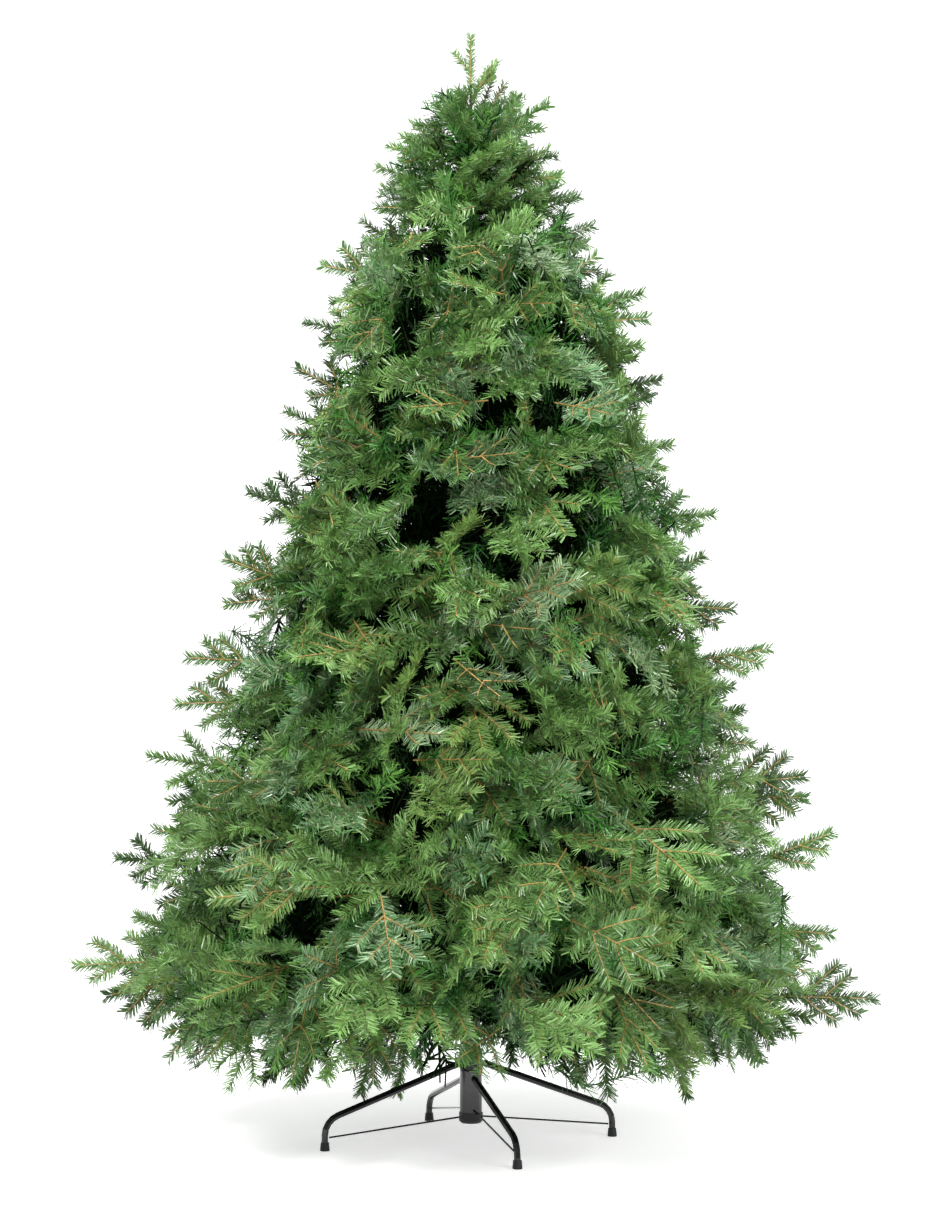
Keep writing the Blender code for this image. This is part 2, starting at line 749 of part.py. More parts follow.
def add_eye_screw(home):
    """The ring-headed screw through the collar that grips the pole."""
    flat = outward(math.radians(EYE_AZIMUTH))
    start = flat * (COLLAR_RADIUS + JOINT_GAP) + Vector((0, 0, EYE_HEIGHT))
    shank_end = start + flat * EYE_SHANK
    centre = shank_end + flat * (EYE_RING_RADIUS - EYE_WIRE / 3)
    pieces = collection("pieces_eye_screw")
    shank = (start, shank_end, EYE_SHANK_RADIUS, EYE_SHANK_RADIUS, EYE_SIDES)
    loose_piece(pieces, lambda bm: limb_mesh(bm, *shank))
    bpy.ops.mesh.primitive_torus_add(
        major_segments=14,
        minor_segments=5,
        major_radius=EYE_RING_RADIUS,
        minor_radius=EYE_WIRE,
        location=centre,
        rotation=(math.pi / 2, 0, math.radians(EYE_AZIMUTH)),
    )
    ring = bpy.context.object
    for home_of_ring in list(ring.users_collection):
        home_of_ring.objects.unlink(ring)
    pieces.objects.link(ring)
    bpy.context.view_layer.update()
    fused("stand_eye_screw", "black_steel", home, pieces)


def build():
    clear_scene()
    home = collection(TREE)
    add_pole(home)
    add_sleeve(home)
    add_legs(home)
    add_eye_screw(home)
    add_crown(home)


build()
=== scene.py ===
"""Artificial spruce Christmas tree: the look of every surface, grown on the CAD frame.

The frame is in metres with +Z up, the origin is on the floor on the pole's axis, and -Y
faces the viewer. The crown grows by the same seeded rule as the solids, and each solid
spray becomes a hand of needled fingers.
"""

import json
import math
import random

import bpy
import numpy as np
from mathutils import Matrix, Vector
from mathutils.bvhtree import BVHTree


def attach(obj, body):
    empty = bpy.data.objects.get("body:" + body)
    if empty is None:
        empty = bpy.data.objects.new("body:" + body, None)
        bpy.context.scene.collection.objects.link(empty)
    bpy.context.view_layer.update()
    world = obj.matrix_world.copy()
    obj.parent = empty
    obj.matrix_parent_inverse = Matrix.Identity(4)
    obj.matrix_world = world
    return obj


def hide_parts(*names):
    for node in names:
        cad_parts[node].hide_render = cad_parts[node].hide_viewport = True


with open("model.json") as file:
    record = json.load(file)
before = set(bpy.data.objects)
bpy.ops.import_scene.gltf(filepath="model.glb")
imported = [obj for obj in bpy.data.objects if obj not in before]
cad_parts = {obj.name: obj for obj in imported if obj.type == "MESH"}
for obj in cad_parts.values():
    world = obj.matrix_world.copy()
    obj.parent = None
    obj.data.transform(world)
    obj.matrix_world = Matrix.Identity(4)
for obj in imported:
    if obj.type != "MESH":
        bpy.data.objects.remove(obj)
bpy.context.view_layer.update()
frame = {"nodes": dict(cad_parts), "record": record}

# The growth rule's named sizes

TREE_HEIGHT = 2.10
CROWN_REACH = 0.780
CROWN_WIDEST = 0.30
CROWN_LOWEST = 0.138
CROWN_UNDERCUT = 1.10
CROWN_SLACK = 0.015
CROWN_CURVE = 0.75
LAYER_RISE = math.tan(math.radians(17))
LAYER_FALL = math.tan(math.radians(12))
LAYER_BEND = 0.62
SPACE_GAP = 0.005
POLE_CLEAR = 0.034
TIER_KEYS = ("low", "limb", "high", "foot", "top", "masses", "turn", "fan", "spray")
TIER_ROWS = (
    (-0.02, 0.197, 0.385, 0.26, 0.92, 6, 3, 4, 0.27),
    (0.385, 0.480, 0.630, 0.04, 0.88, 5, 26, 4, 0.25),
    (0.630, 0.725, 0.870, 0.04, 0.88, 5, 62, 4, 0.24),
    (0.870, 0.965, 1.115, 0.04, 0.88, 4, 5, 4, 0.22),
    (1.115, 1.225, 1.380, 0.03, 0.90, 3, 38, 4, 0.20),
    (1.380, 1.495, 1.665, 0.03, 0.92, 3, 95, 4, 0.18),
)
TIERS = [dict(zip(TIER_KEYS, row)) for row in TIER_ROWS]
TIERS_WITH_BOUGHS = 3
MASS_SEED = 11
TIER_SEED = 1000
FAN_AIMS = ((0.06, 0.30), (0.48, -0.80), (0.92, 0.55))
FAN_CENTRE = 0.50
CROWDED_TIERS = (1, 2)
UNDER_ROW_REACH = (0.60, 0.80)
UNDER_ROW_HEIGHT = 0.006
STAGGER = 0.09
TIP_BACK = (-0.010, 0.050)
BOUGH_ROOT_RADIUS = 0.0070
BOUGH_SHARE = 0.34
STEM_RADIUS = 0.0050
STEM_SHARE = 0.60
FAN_SPREAD = 0.76
FAN_LEAN = 0.9
FAN_WANDER = 0.05
FAN_FROM_ROOT = 0.012
FAN_FROM_TIP = 0.004
LEVEL_WANDER = 0.03
LEVEL_MOST = 0.97
ROOTS_ON_TWIG = (1.0, 0.94)
TWIG_SHARE = 0.63
JOINT_GAP = 0.0004
SUNK = 0.006
SPRAY_SUNK = 0.0024
LIMB_CLEAR = 0.012
SPRAY_HALF = ((0.30, 0.065), (0.58, 0.370), (0.72, 0.280), (0.54, 0.095))
SPRAY_MIDDLE = 0.42
SPRAY_THICKNESS = 0.050
SPRAY_DROOP = 0.05
SPRAY_ROLL = (0, 42)
SPRAY_TILT = 0.4
ROLL_GROWTH = 4
LEADER_ROLL = (15, 60)
SPRAY_FINGERS = ((1, 2, 3, 4), (4, 5, 6), (6, 7, 8, 9))
SPRAY_APART = 0.004
SPRAY_TRIES = 14
SPRAY_SHRINK = 0.016
SPRAY_SIZES = (1.06, 1.0, 0.95, 0.90, 0.85)
SPRAY_LENGTHS = (0.72, 1.12)
SPRAY_WANDER = 0.05
WANDER_GROWTH = 0.06
LEADER_FOOT = 1.67
LEADER_TOP = 2.00
LEADER_RINGS = (
    (1.725, 6, 0.250, 4, 0),
    (1.768, 6, 0.225, 11, 5),
    (1.812, 5, 0.205, 19, 352),
    (1.852, 4, 0.188, 31, 350),
    (1.903, 3, 0.150, 40, 12),
    (1.958, 1, 0.105, 55, 352),
)
LEADER_TIP_SPRAY = 0.112
LEADER_SEED = 77
LEADER_TURN_WANDER = 9
LEADER_LIFT_WANDER = 6
LEADER_HEIGHT_WANDER = 0.012
LEADER_SIZES = (0.94, 1.06)
POLE_SECTIONS = ((0.72, 0.0160), (1.32, 0.0135), (LEADER_FOOT, 0.0100))
POLE_RING_RADIUS = 0.0215
POLE_RING_HEIGHT = 0.018
CAP_FLOOR = 0.0430

# Needles. A blade is half its foot as a share of its width, its tip's twist and half its tip as a
# share. A lean is degrees off the stem, how much less at the tip, that fall's power and the
# wander. Sizes are the least and how much more

NEEDLE = 0.0215
RIM_NEEDLE = 0.0185
TOP_NEEDLE = 0.0125
NEEDLE_WIDTH = 0.0030
NEEDLE_PITCH = 0.00094
RIM_SPACING = 0.70
FEWEST_NEEDLES = 10
BLADE = (0.38, 0.5, 0.20)
NEEDLE_LEAN = (55, 13, 6, 6)
NEEDLE_SIZES = (0.84, 0.32)
NEEDLE_WIDTHS = (0.85, 0.3)
WIDTH_GROWTH = 1.25
NEEDLE_ROLL = 0.5
NEEDLE_SUNK = 0.6
TIP_NEEDLES = (0.80, 0.020)
ROOT_NEEDLES = (0.60, 0.03)
OVER_SHARE = 0.48
BARE_OVER_SHARE = 0.08
OVER_TURN = (0.85, 0.35)
SIDE_TURN = (0.05, 0.36)
MIXED_SHARE = 0.28
FILM_NEEDLE = 0.031
FILM_WIDTH = 0.0034
FILM_PITCH = 0.0018
FILM_LEAN = (58, 26, 3, 9)
FILM_SIZES = (0.75, 0.4)
FILM_TIP = (0.60, 2.2)
FILM_ROLL = 0.8
FILM_WIRE = 0.0010
FILM_HELPER = (0.31, 0.22, 0.93)
CORE_PITCH = 0.0034
PIECE_NEEDLES = 90000

# Hands. A side finger is its root and tip along the hand and its tip's place across it

BARE_HANDS = 0.46
BARE_STEM = 1.2
FINGER_RADII = (0.0013, 0.0011)
FINGER_STARTS = (0.03, 0.05)
STEM_TAPER = (1.15, 0.55)
STEM_END = 0.95
STEM_STEPS = 4
FACE_UP = 0.7
MIDDLE_BOW = 0.03
MIDDLE_RISE = 0.025
SIDE_FINGERS = ((0.30, 0.62, 0.30), (0.54, 0.80, 0.21))
SIDE_ROOT = 0.006
SIDE_BEND = (0.42, 0.56, 0.3)
SIDE_MISSING = 0.05
SIDE_SHIFT = 0.05
SIDE_SIZES = (0.86, 1.08)
SIDE_LIFTS = (-0.07, 0.05)
HAND_SHARE = (0.86, 1.0)
SIDE_SHARE = (0.76, 0.90)
SIDEWAYS = 0.75
STAND_SHOWN = 0.24
STAND_HALF = 0.13

# Limbs and wires

STEM_TIP = 0.0030
BOUGH_TIP = 0.0050
TWIG_RADII = (0.0030, 0.0026, 0.0020)
BRANCH_RADII = (0.0018, 0.0013)
BRANCH_FROM = 0.05
BRANCH_LEAST = 0.004
LIMB_STEP = 0.0045
LIMB_SIDES = 6
LAY_PITCH = 0.009
LAY_RISE = 0.11
LAY_SIZE = 0.92

# How many of each, tier by tier, on a mass that takes up this much of the crown's outline

MASS_ARC = 0.8
EXTRA_HANDS = 10.5
EXTRA_BOOST = (1.0, 1.0, 1.0, 1.15, 1.35, 1.5)
EXTRA_TRIES = 14
EXTRA_BANDS = (-0.12, 0.85)
EXTRA_REACH = (0.58, 0.84)
EXTRA_TURNS = (0.2, 1.25)
EXTRA_RISES = (-35, 40)
LOWEST_RISES = (-40, 15)
EXTRA_ROLL = 0.5
EXTRA_SPRAY = 0.9
EXTRA_SIZES = (0.72, 1.0)
EXTRA_FINGERS = (4, 6)
EXTRA_SLACK = 0.04
BAND_DEPTH = 0.27
FILM_TWIGS = 18
FILM_BOOST = (1.0, 1.0, 1.15, 1.4, 1.7, 1.7)
FILM_TRIES = 8
FILM_REACH = (0.50, 0.88)
FILM_SPRAY = 0.72
FILM_WANDER = 0.7
FILM_LENGTHS = (0.75, 1.1)
FILM_SAG = (-0.01, 0.02)
# Core twigs: near-black film in the crown's depths, painted shade
CORE_TWIGS = 36
CORE_SIZES = (2.0, 2.0, 2.0, 2.0, 1.35, 1.35)
CORE_REACH = (0.08, 0.66)
CORE_SPRAY = 0.8
CORE_KEPT = 0.66
CORE_FLOOR = 0.045
LOWEST_MORE = 1.35

# The leader's own: count, place along the stem, climb or lift, share of the crown's reach, and
# the greatest length or, for the core twigs, their size

LEADER_FILM = (70, (0.0, 0.8), (-0.25, 0.9), (0.45, 0.8), 0.15)
LEADER_CORE = (44, (-0.25, 0.65), (-0.2, 0.8), (0.35, 0.62), 1.3)
LEADER_HANDS = (10, (0.0, 0.5), (-10, 55), (0.6, 0.85), 0.20)
LEADER_HAND_UP = 0.03
LEADER_HAND_ROLL = 0.7

# How far out twigs and hands are kept, hands over the seams between masses, at the front and on
# the outline, and the seeds

FACE_HALF = 0.8
FACE_KEPT = 0.90
SIDE_KEPT = 0.76
LEFT_KEPT = 0.66
LEFT_BAND = (0.75, 1.70)
HAND_OVER = 0.07
OUTER_SLACK = 0.012
SEAM_LEVELS = (0.28, 0.80)
SEAM_ROOT = 0.78
SEAM_WAY = ((0.3, 1.0), (-30, 20), 0.4)
SEAM_SIZES = (0.75, 0.95)
FRONT_ROOT = 0.80
FRONT_FACE = Vector((0, -1, 0.8))
FRONT_ROLL = 0.3
FRONT_LENGTH = (0.14, 0.10)
RIM_WANDER = 0.06
RIM_DEPTH = 0.02
RIM_FACE_UP = (0.2, 0.9)
RIM_TOP = 1.9
SEEDS = {"masses": 9000, "leader": 9900, "rim": 9950, "front": 9960, "seams": 9970}
TIER_STEP = 100

# Hands on the crown's outline to either side, in millimetres and degrees: tip as x and z, length,
# lift, fingers
RIM_HANDS = (
    (-115, 1920, 85, 0, 3), (-137, 1901, 114, 14, 3), (-162, 1882, 114, 18, 3), (-185, 1848, 123, 20, 3),
    (-160, 1803, 114, 8, 3), (-185, 1765, 142, 3, 3), (-211, 1746, 114, 38, 3), (-209, 1706, 123, 15, 3),
    (-291, 1655, 180, 13, 4), (-272, 1583, 133, -6, 3), (-323, 1545, 142, 10, 3), (-291, 1509, 171, -3, 4),
    (-336, 1462, 142, 32, 3), (-357, 1380, 142, 28, 3), (-361, 1333, 142, 2, 3), (-331, 1280, 171, 4, 4),
    (-427, 1223, 152, 18, 4), (-378, 1181, 133, -4, 3), (-473, 1102, 152, 24, 4), (-471, 1011, 152, -4, 4),
    (-545, 910, 161, 6, 4), (-562, 823, 161, 0, 4), (-617, 724, 180, 11, 4), (-575, 635, 161, -10, 4),
    (-604, 588, 161, 13, 4), (-676, 533, 190, 6, 5), (-594, 442, 171, -18, 4), (-636, 427, 142, 24, 3),
    (-613, 380, 152, -2, 4), (-755, 332, 227, 0, 5), (-696, 273, 218, -8, 5), (-609, 215, 152, -40, 4),
    (-571, 154, 161, -50, 4), (-397, 110, 161, -28, 4), (154, 1962, 142, 31, 3), (168, 1863, 142, 10, 3),
    (177, 1824, 142, 6, 3), (211, 1788, 133, 17, 3), (240, 1734, 152, 20, 4), (228, 1700, 133, 12, 3),
    (244, 1674, 142, 34, 3), (249, 1645, 133, 8, 3), (334, 1602, 161, 11, 4), (340, 1551, 152, 5, 4),
    (333, 1503, 161, 5, 4), (319, 1475, 142, -6, 3), (367, 1439, 161, 10, 4), (342, 1399, 152, 0, 4),
    (391, 1314, 180, 6, 4), (367, 1242, 152, -3, 4), (467, 1181, 161, 6, 4), (448, 1105, 142, 28, 3),
    (433, 1035, 142, -6, 3), (501, 1001, 171, 2, 4), (569, 927, 180, 12, 4), (475, 884, 142, -10, 3),
    (499, 855, 142, 4, 3), (522, 814, 161, 16, 4), (541, 745, 161, -4, 4), (634, 687, 199, 7, 5),
    (641, 645, 171, 3, 4), (685, 584, 180, 24, 4), (598, 450, 161, -4, 4), (685, 391, 171, 0, 4),
    (638, 344, 180, 14, 4), (768, 270, 208, 1, 5), (651, 230, 199, -11, 5), (598, 201, 161, -22, 4),
    (547, 146, 161, -62, 4), (44, 2024, 85, 72, 1), (66, 2006, 92, 62, 1), (-56, 1985, 75, 130, 2),
)

# Hands that hang from the lowest layer, in the same order
LOW_HANDS = (
    (-382, 118, 150, -58, 4), (-325, 104, 150, -66, 4), (-209, 84, 150, -74, 3), (-141, 84, 140, -78, 3),
    (-62, 142, 130, -80, 3), (79, 142, 130, -80, 3), (140, 165, 120, -76, 3), (205, 108, 140, -76, 4),
    (291, 126, 150, -68, 4), (350, 118, 150, -64, 3), (406, 78, 150, -80, 1), (463, 150, 150, -70, 4),
    (537, 146, 150, -60, 3),
)

# Hands on the crown's face towards the front: root as x and z in millimetres, heading in
# degrees off the front, lift
FRONT_HANDS = (
    (0, 1660, 50, 10), (60, 1560, -40, 5), (-40, 1480, 35, -10), (30, 1360, -60, -5),
    (-60, 1250, 60, 5), (20, 1130, 40, -15), (100, 1020, -65, 0), (-30, 900, 30, -20),
    (-200, 780, 60, 0), (160, 740, -50, -10), (10, 560, 45, -25), (280, 480, -60, -10),
    (-120, 400, -35, -30), (60, 340, 50, -20), (110, 1420, -30, -20), (150, 1360, 40, -10),
    (-100, 700, 30, -15), (-160, 660, -40, -10), (160, 580, -20, -25), (-170, 1080, 20, -10),
    (-100, 1620, -30, 0),
)

# Colours by kind, and how often each is dealt to a hand or a film twig

NEEDLE_GREENS = {
    "needles_mid": (0.116, 0.235, 0.055),
    "needles_deep": (0.069, 0.158, 0.038),
    "needles_dim": (0.040, 0.085, 0.024),
    # Bluish needles: partly their own tint, partly a painted blue-grey sheen
    "needles_blue": (0.092, 0.205, 0.078),
    "needles_light": (0.180, 0.330, 0.095),
    "needles_olive": (0.145, 0.240, 0.055),
    # Pale needles: partly a paler tone, partly a painted whitish sheen
    "needles_pale": (0.230, 0.330, 0.165),
}
NEEDLE_SHARES = dict(zip(NEEDLE_GREENS, (30, 30, 7, 14, 12, 9, 2.5)))
# The hands on the outline, the lowest ones and the top sprig are dealt mostly dim and deep greens: painted
# shade
RIM_SHADE_SHARES = {"needles_dim": 45, "needles_deep": 40, "needles_mid": 15}
MIXED_WITH = {
    "needles_dim": "needles_deep",
    "needles_mid": "needles_light",
    "needles_blue": "needles_pale",
    "needles_pale": "needles_blue",
}
MIXED_ELSE = "needles_mid"
FILM_GREENS = {
    "film_deep": (0.018, 0.080, 0.012),
    "film_mid": (0.045, 0.160, 0.024),
    "film_light": (0.105, 0.260, 0.045),
}
FILM_SHARES = dict(zip(FILM_GREENS, (46, 36, 18)))
# Near-black core film, painted shade in the crown's depths
CORE_SHADE_GREENS = {"film_core": (0.003, 0.012, 0.002)}
CORE_SHADE_SHARES = {"film_core": 1}
STEM_COLOURS = {
    "stem_orange": (0.400, 0.250, 0.075),
    "stem_brown": (0.110, 0.085, 0.030),
}


# The growth rule


def outward(azimuth):
    return Vector((math.cos(azimuth), math.sin(azimuth), 0))


def raised(azimuth, rise):
    return outward(azimuth) * math.cos(rise) + Vector((0, 0, math.sin(rise)))


def aim(direction, side):
    """The rotation whose X is direction and whose Y is as near to side as can be."""
    x = direction.normalized()
    z = x.cross(side).normalized()
    return Matrix((x, z.cross(x), z)).transposed()


def spray_points(root, direction, side, length):
    """A spray's outline in order round it from its root, then the two points of its raised middle."""
    turn = aim(direction, side)

    def place(along, across, up):
        droop = SPRAY_DROOP * along * along
        return root + turn @ Vector((along, across, up)) * length - Vector((0, 0, droop * length))

    half = [place(along, across, 0) for along, across in SPRAY_HALF]
    other = [place(along, -across, 0) for along, across in reversed(SPRAY_HALF)]
    middle = [place(SPRAY_MIDDLE, 0, up * SPRAY_THICKNESS / 2) for up in (1, -1)]
    return [root, *half, place(1, 0, 0), *other], middle


def crown_reach(height):
    """The crown's outer radius at that height."""
    if height < CROWN_WIDEST:
        return CROWN_REACH - (CROWN_WIDEST - height) * CROWN_UNDERCUT
    share = (TREE_HEIGHT - height) / (TREE_HEIGHT - CROWN_WIDEST)
    return CROWN_REACH * max(0.0, share) ** CROWN_CURVE


def layer_height(level, radius):
    """The height at radius of the layer face that meets the axis at level."""
    bend = LAYER_BEND * crown_reach(max(level, CROWN_WIDEST))
    return level + LAYER_RISE * min(radius, bend) - LAYER_FALL * max(0.0, radius - bend)


def layer_level(point, radius):
    """The level of the layer face through the point."""
    level = point.z
    for _ in range(6):
        level += point.z - layer_height(level, radius)
    return level


def on_layer(azimuth, level, radius):
    return outward(azimuth) * radius + Vector((0, 0, layer_height(level, radius)))


def outline_radius(level):
    """How far out the layer face at level meets the crown's outline."""
    radius = CROWN_REACH / 2
    for _ in range(30):
        radius = (radius + crown_reach(layer_height(level, radius))) / 2
    return radius


def root_clear(radius):
    """How far off a limb's root is set, so that its tilted end clears what it meets."""
    return JOINT_GAP + radius * math.sin(math.atan(LAYER_RISE))


def pole_radius(height):
    for top, radius in POLE_SECTIONS:
        if height < top:
            return radius
    return POLE_SECTIONS[-1][1]


class Space:
    """One mass's share of the crown: a wedge of one layer, or all of it for the leader."""

    def __init__(self, low, high, limb=0.0, azimuth=0.0, half_angle=None, inner=0.0):
        self.low = low
        self.high = high
        self.limb = limb
        self.azimuth = azimuth
        self.half_angle = half_angle
        self.inner = inner

    def to_side(self, point, radius):
        """How far the point is inside the wedge's two upright faces."""
        if self.half_angle is None:
            return math.inf
        off = (math.atan2(point.y, point.x) - self.azimuth + math.pi) % (2 * math.pi) - math.pi
        return radius * math.sin(min(math.pi / 2, self.half_angle - abs(off)))

    def holds(self, point, margin=0.0):
        """True if the point is in this space, clear of its faces by margin."""
        clear = SPACE_GAP / 2 + margin
        radius = math.hypot(point.x, point.y)
        level = layer_level(point, radius)
        return (
            self.low + clear < level < self.high - clear
            and self.to_side(point, radius) > clear
            and point.z > CROWN_LOWEST + margin
            and self.inner + margin <= radius < crown_reach(point.z) + CROWN_SLACK
        )

    def limb_point(self, radius):
        """A point along the middle of the wedge, where its bough and stem run."""
        return on_layer(self.azimuth, self.limb, radius)


def tier_space(tier, index):
    half_angle = math.pi / tier["masses"]
    azimuth = math.radians(tier["turn"]) + index * 2 * half_angle
    return Space(tier["low"], tier["high"], tier["limb"], azimuth, half_angle, POLE_CLEAR)


def distance_to_limb(point, start, end):
    way = end - start
    share = max(0.0, min(1.0, (point - start).dot(way) / way.length_squared))
    return (point - start - way * share).length


class Sprays:
    """The sprays of one mass. One that would leave its space or cross another is left out."""

    def __init__(self, dice, fits, roll):
        self.dice = dice
        self.fits = fits
        self.roll = roll
        self.made = []
        self.trees = []

    def add(self, root, direction, length):
        """Tries for a spray from root that faces outwards, each time turned a little more and shorter."""
        for attempt in range(SPRAY_TRIES):
            wander = SPRAY_WANDER + WANDER_GROWTH * attempt
            way = direction + Vector([self.dice.uniform(-wander, wander) for _ in range(3)])
            way.normalize()
            facing = way if root.xy.length < POLE_CLEAR else root
            face = outward(math.atan2(facing.y, facing.x)) + Vector((0, 0, SPRAY_TILT))
            roll = self.dice.uniform(self.roll[0], self.roll[1] + ROLL_GROWTH * attempt)
            roll = math.radians(roll) * self.dice.choice((1, -1))
            side = Matrix.Rotation(roll, 3, way) @ way.cross(face).normalized()
            for share in SPRAY_SIZES:
                size = length * share * (1 - SPRAY_SHRINK * attempt)
                outline, middle = spray_points(root, way, side, size)
                if all(self.fits(p) for p in outline[1:] + middle):
                    break
            else:
                continue
            tree = BVHTree.FromPolygons(outline, SPRAY_FINGERS, epsilon=SPRAY_APART)
            if not any(tree.overlap(other) for other in self.trees):
                self.made.append((root, way, side, size))
                self.trees.append(tree)
                return


def grow_mass(number, index):
    """One mass by the seeded rule: its space, its stem, its twigs and its sprays."""
    tier = TIERS[number]
    dice = random.Random(TIER_SEED * number + index + MASS_SEED)
    space = tier_space(tier, index)
    depth = tier["high"] - tier["low"]
    reach = outline_radius(space.limb)
    if number < TIERS_WITH_BOUGHS:
        inner = BOUGH_SHARE * reach
    else:
        inner = pole_radius(space.limb) + root_clear(STEM_RADIUS)
    stem = (space.limb_point(inner), space.limb_point(STEM_SHARE * reach))
    bough = (space.limb_point(POLE_RING_RADIUS), space.limb_point(inner - SUNK))

    def fits(point):
        return space.holds(point) and distance_to_limb(point, *bough) > LIMB_CLEAR

    twigs, sprays = [], Sprays(dice, fits, SPRAY_ROLL)
    fan, length = tier["fan"], tier["spray"]
    for place in range(fan):
        lean = FAN_SPREAD * (2 * place / (fan - 1) - 1) + dice.uniform(-FAN_WANDER, FAN_WANDER)
        turn = lean * space.half_angle
        azimuth = space.azimuth + turn
        stagger = STAGGER * (1 if place % 2 else -1)
        centre = tier["foot"] + (tier["top"] - tier["foot"]) * (FAN_CENTRE + stagger)
        level = tier["low"] + depth * centre
        end = on_layer(azimuth, level, TWIG_SHARE * outline_radius(level))
        along = end.xy.length * (math.cos(turn) - FAN_LEAN * abs(math.sin(turn)))
        along = min(stem[1].xy.length - FAN_FROM_TIP, along)
        along = max(stem[0].xy.length + FAN_FROM_ROOT, along)
        start = space.limb_point(along)
        twigs.append((start, end))
        targets = []
        mirror = 1 if place % 2 else -1
        skip_last = number in CROWDED_TIERS and place % 2
        for up, across in FAN_AIMS[:-1] if skip_last else FAN_AIMS:
            heading = azimuth + mirror * across * FAN_SPREAD * space.half_angle / (fan - 1)
            share = tier["foot"] + (tier["top"] - tier["foot"]) * (up + stagger / 2)
            share += dice.uniform(-LEVEL_WANDER, LEVEL_WANDER)
            level = tier["low"] + depth * min(LEVEL_MOST, share)
            targets.append(on_layer(heading, level, outline_radius(level) - dice.uniform(*TIP_BACK)))
        if number == 0:
            share = dice.uniform(*UNDER_ROW_REACH)
            foot = Vector((0, 0, CROWN_LOWEST + UNDER_ROW_HEIGHT))
            targets.append(outward(azimuth) * share * CROWN_REACH + foot)
        for row, target in enumerate(targets):
            root = start.lerp(end, ROOTS_ON_TWIG[row % len(ROOTS_ON_TWIG)])
            way = target - root
            shortest, longest = (share * length for share in SPRAY_LENGTHS)
            sprays.add(root, way.normalized(), max(shortest, min(longest, way.length)))
    return space, stem, twigs, sprays.made


def grow_leader():
    """The top of the tree: a stem that carries on from the pole, and its rings of sprays."""
    dice = random.Random(LEADER_SEED)
    space = Space(LEADER_FOOT, 2 * TREE_HEIGHT)
    stem = (Vector((0, 0, LEADER_FOOT + JOINT_GAP)), Vector((0, 0, LEADER_TOP)))
    sprays = Sprays(dice, space.holds, LEADER_ROLL)
    for height, count, length, lift, turn in LEADER_RINGS:
        for place in range(count):
            wander = dice.uniform(-LEADER_TURN_WANDER, LEADER_TURN_WANDER)
            azimuth = math.radians(turn + wander + place * 360 / count)
            rise = math.radians(lift + dice.uniform(-LEADER_LIFT_WANDER, LEADER_LIFT_WANDER))
            way = raised(azimuth, rise)
            off = dice.uniform(-LEADER_HEIGHT_WANDER, LEADER_HEIGHT_WANDER)
            sprays.add(Vector((0, 0, height + off)), way, length * dice.uniform(*LEADER_SIZES))
    tip = Vector((0, 0, TREE_HEIGHT - LEADER_TIP_SPRAY + SPRAY_SUNK))
    top = (tip, Vector((0, 0, 1)), Vector((1, 0.2, 0)), LEADER_TIP_SPRAY / (1 - SPRAY_DROOP))
    return stem, [*sprays.made, top]


# Materials

TONE_STOPS = (0.32, 0.68)
ROUGHNESS_WANDER = 0.08
SMOOTHEST = 0.02


def fill(node, values):
    for socket, value in values.items():
        node.inputs[socket].default_value = value


def noise_mix(nodes, links, colour, spread, scale):
    """A colour that wanders between a darker and a lighter tone of itself over the surface."""
    coords = nodes.new("ShaderNodeTexCoord")
    noise = nodes.new("ShaderNodeTexNoise")
    fill(noise, {"Scale": scale, "Detail": 3.0})
    ramp = nodes.new("ShaderNodeValToRGB")
    low, high = ramp.color_ramp.elements
    low.position, high.position = TONE_STOPS
    low.color = (*[c * (1 - spread) for c in colour], 1)
    high.color = (*[min(1.0, c * (1 + spread)) for c in colour], 1)
    links.new(coords.outputs["Object"], noise.inputs["Vector"])
    links.new(noise.outputs["Fac"], ramp.inputs["Fac"])
    return noise, ramp


def surface(name, colour, roughness, spread, scale, metallic=0, bump=0, bump_scale=0, coat=0, shine=0.5):
    """A Principled material with wandering colour and roughness and a fine grain."""
    made = bpy.data.materials.new(name)
    made.use_nodes = True
    made.diffuse_color = (*colour, 1)
    nodes, links = made.node_tree.nodes, made.node_tree.links
    shader = nodes["Principled BSDF"]
    fill(shader, {"Metallic": metallic, "Coat Weight": coat})
    fill(shader, {"Specular IOR Level": shine, "Coat Roughness": 0.12})
    noise, ramp = noise_mix(nodes, links, colour, spread, scale)
    links.new(ramp.outputs["Color"], shader.inputs["Base Color"])
    rough = nodes.new("ShaderNodeMapRange")
    lowest = max(SMOOTHEST, roughness - ROUGHNESS_WANDER)
    fill(rough, {"To Min": lowest, "To Max": roughness + ROUGHNESS_WANDER})
    links.new(noise.outputs["Fac"], rough.inputs["Value"])
    links.new(rough.outputs["Result"], shader.inputs["Roughness"])
    if bump:
        grain = nodes.new("ShaderNodeTexNoise")
        fill(grain, {"Scale": bump_scale, "Detail": 4})
        links.new(noise.inputs["Vector"].links[0].from_socket, grain.inputs["Vector"])
        relief = nodes.new("ShaderNodeBump")
        fill(relief, {"Strength": bump, "Distance": 0.0004})
        links.new(grain.outputs["Fac"], relief.inputs["Height"])
        links.new(relief.outputs["Normal"], shader.inputs["Normal"])
    return made


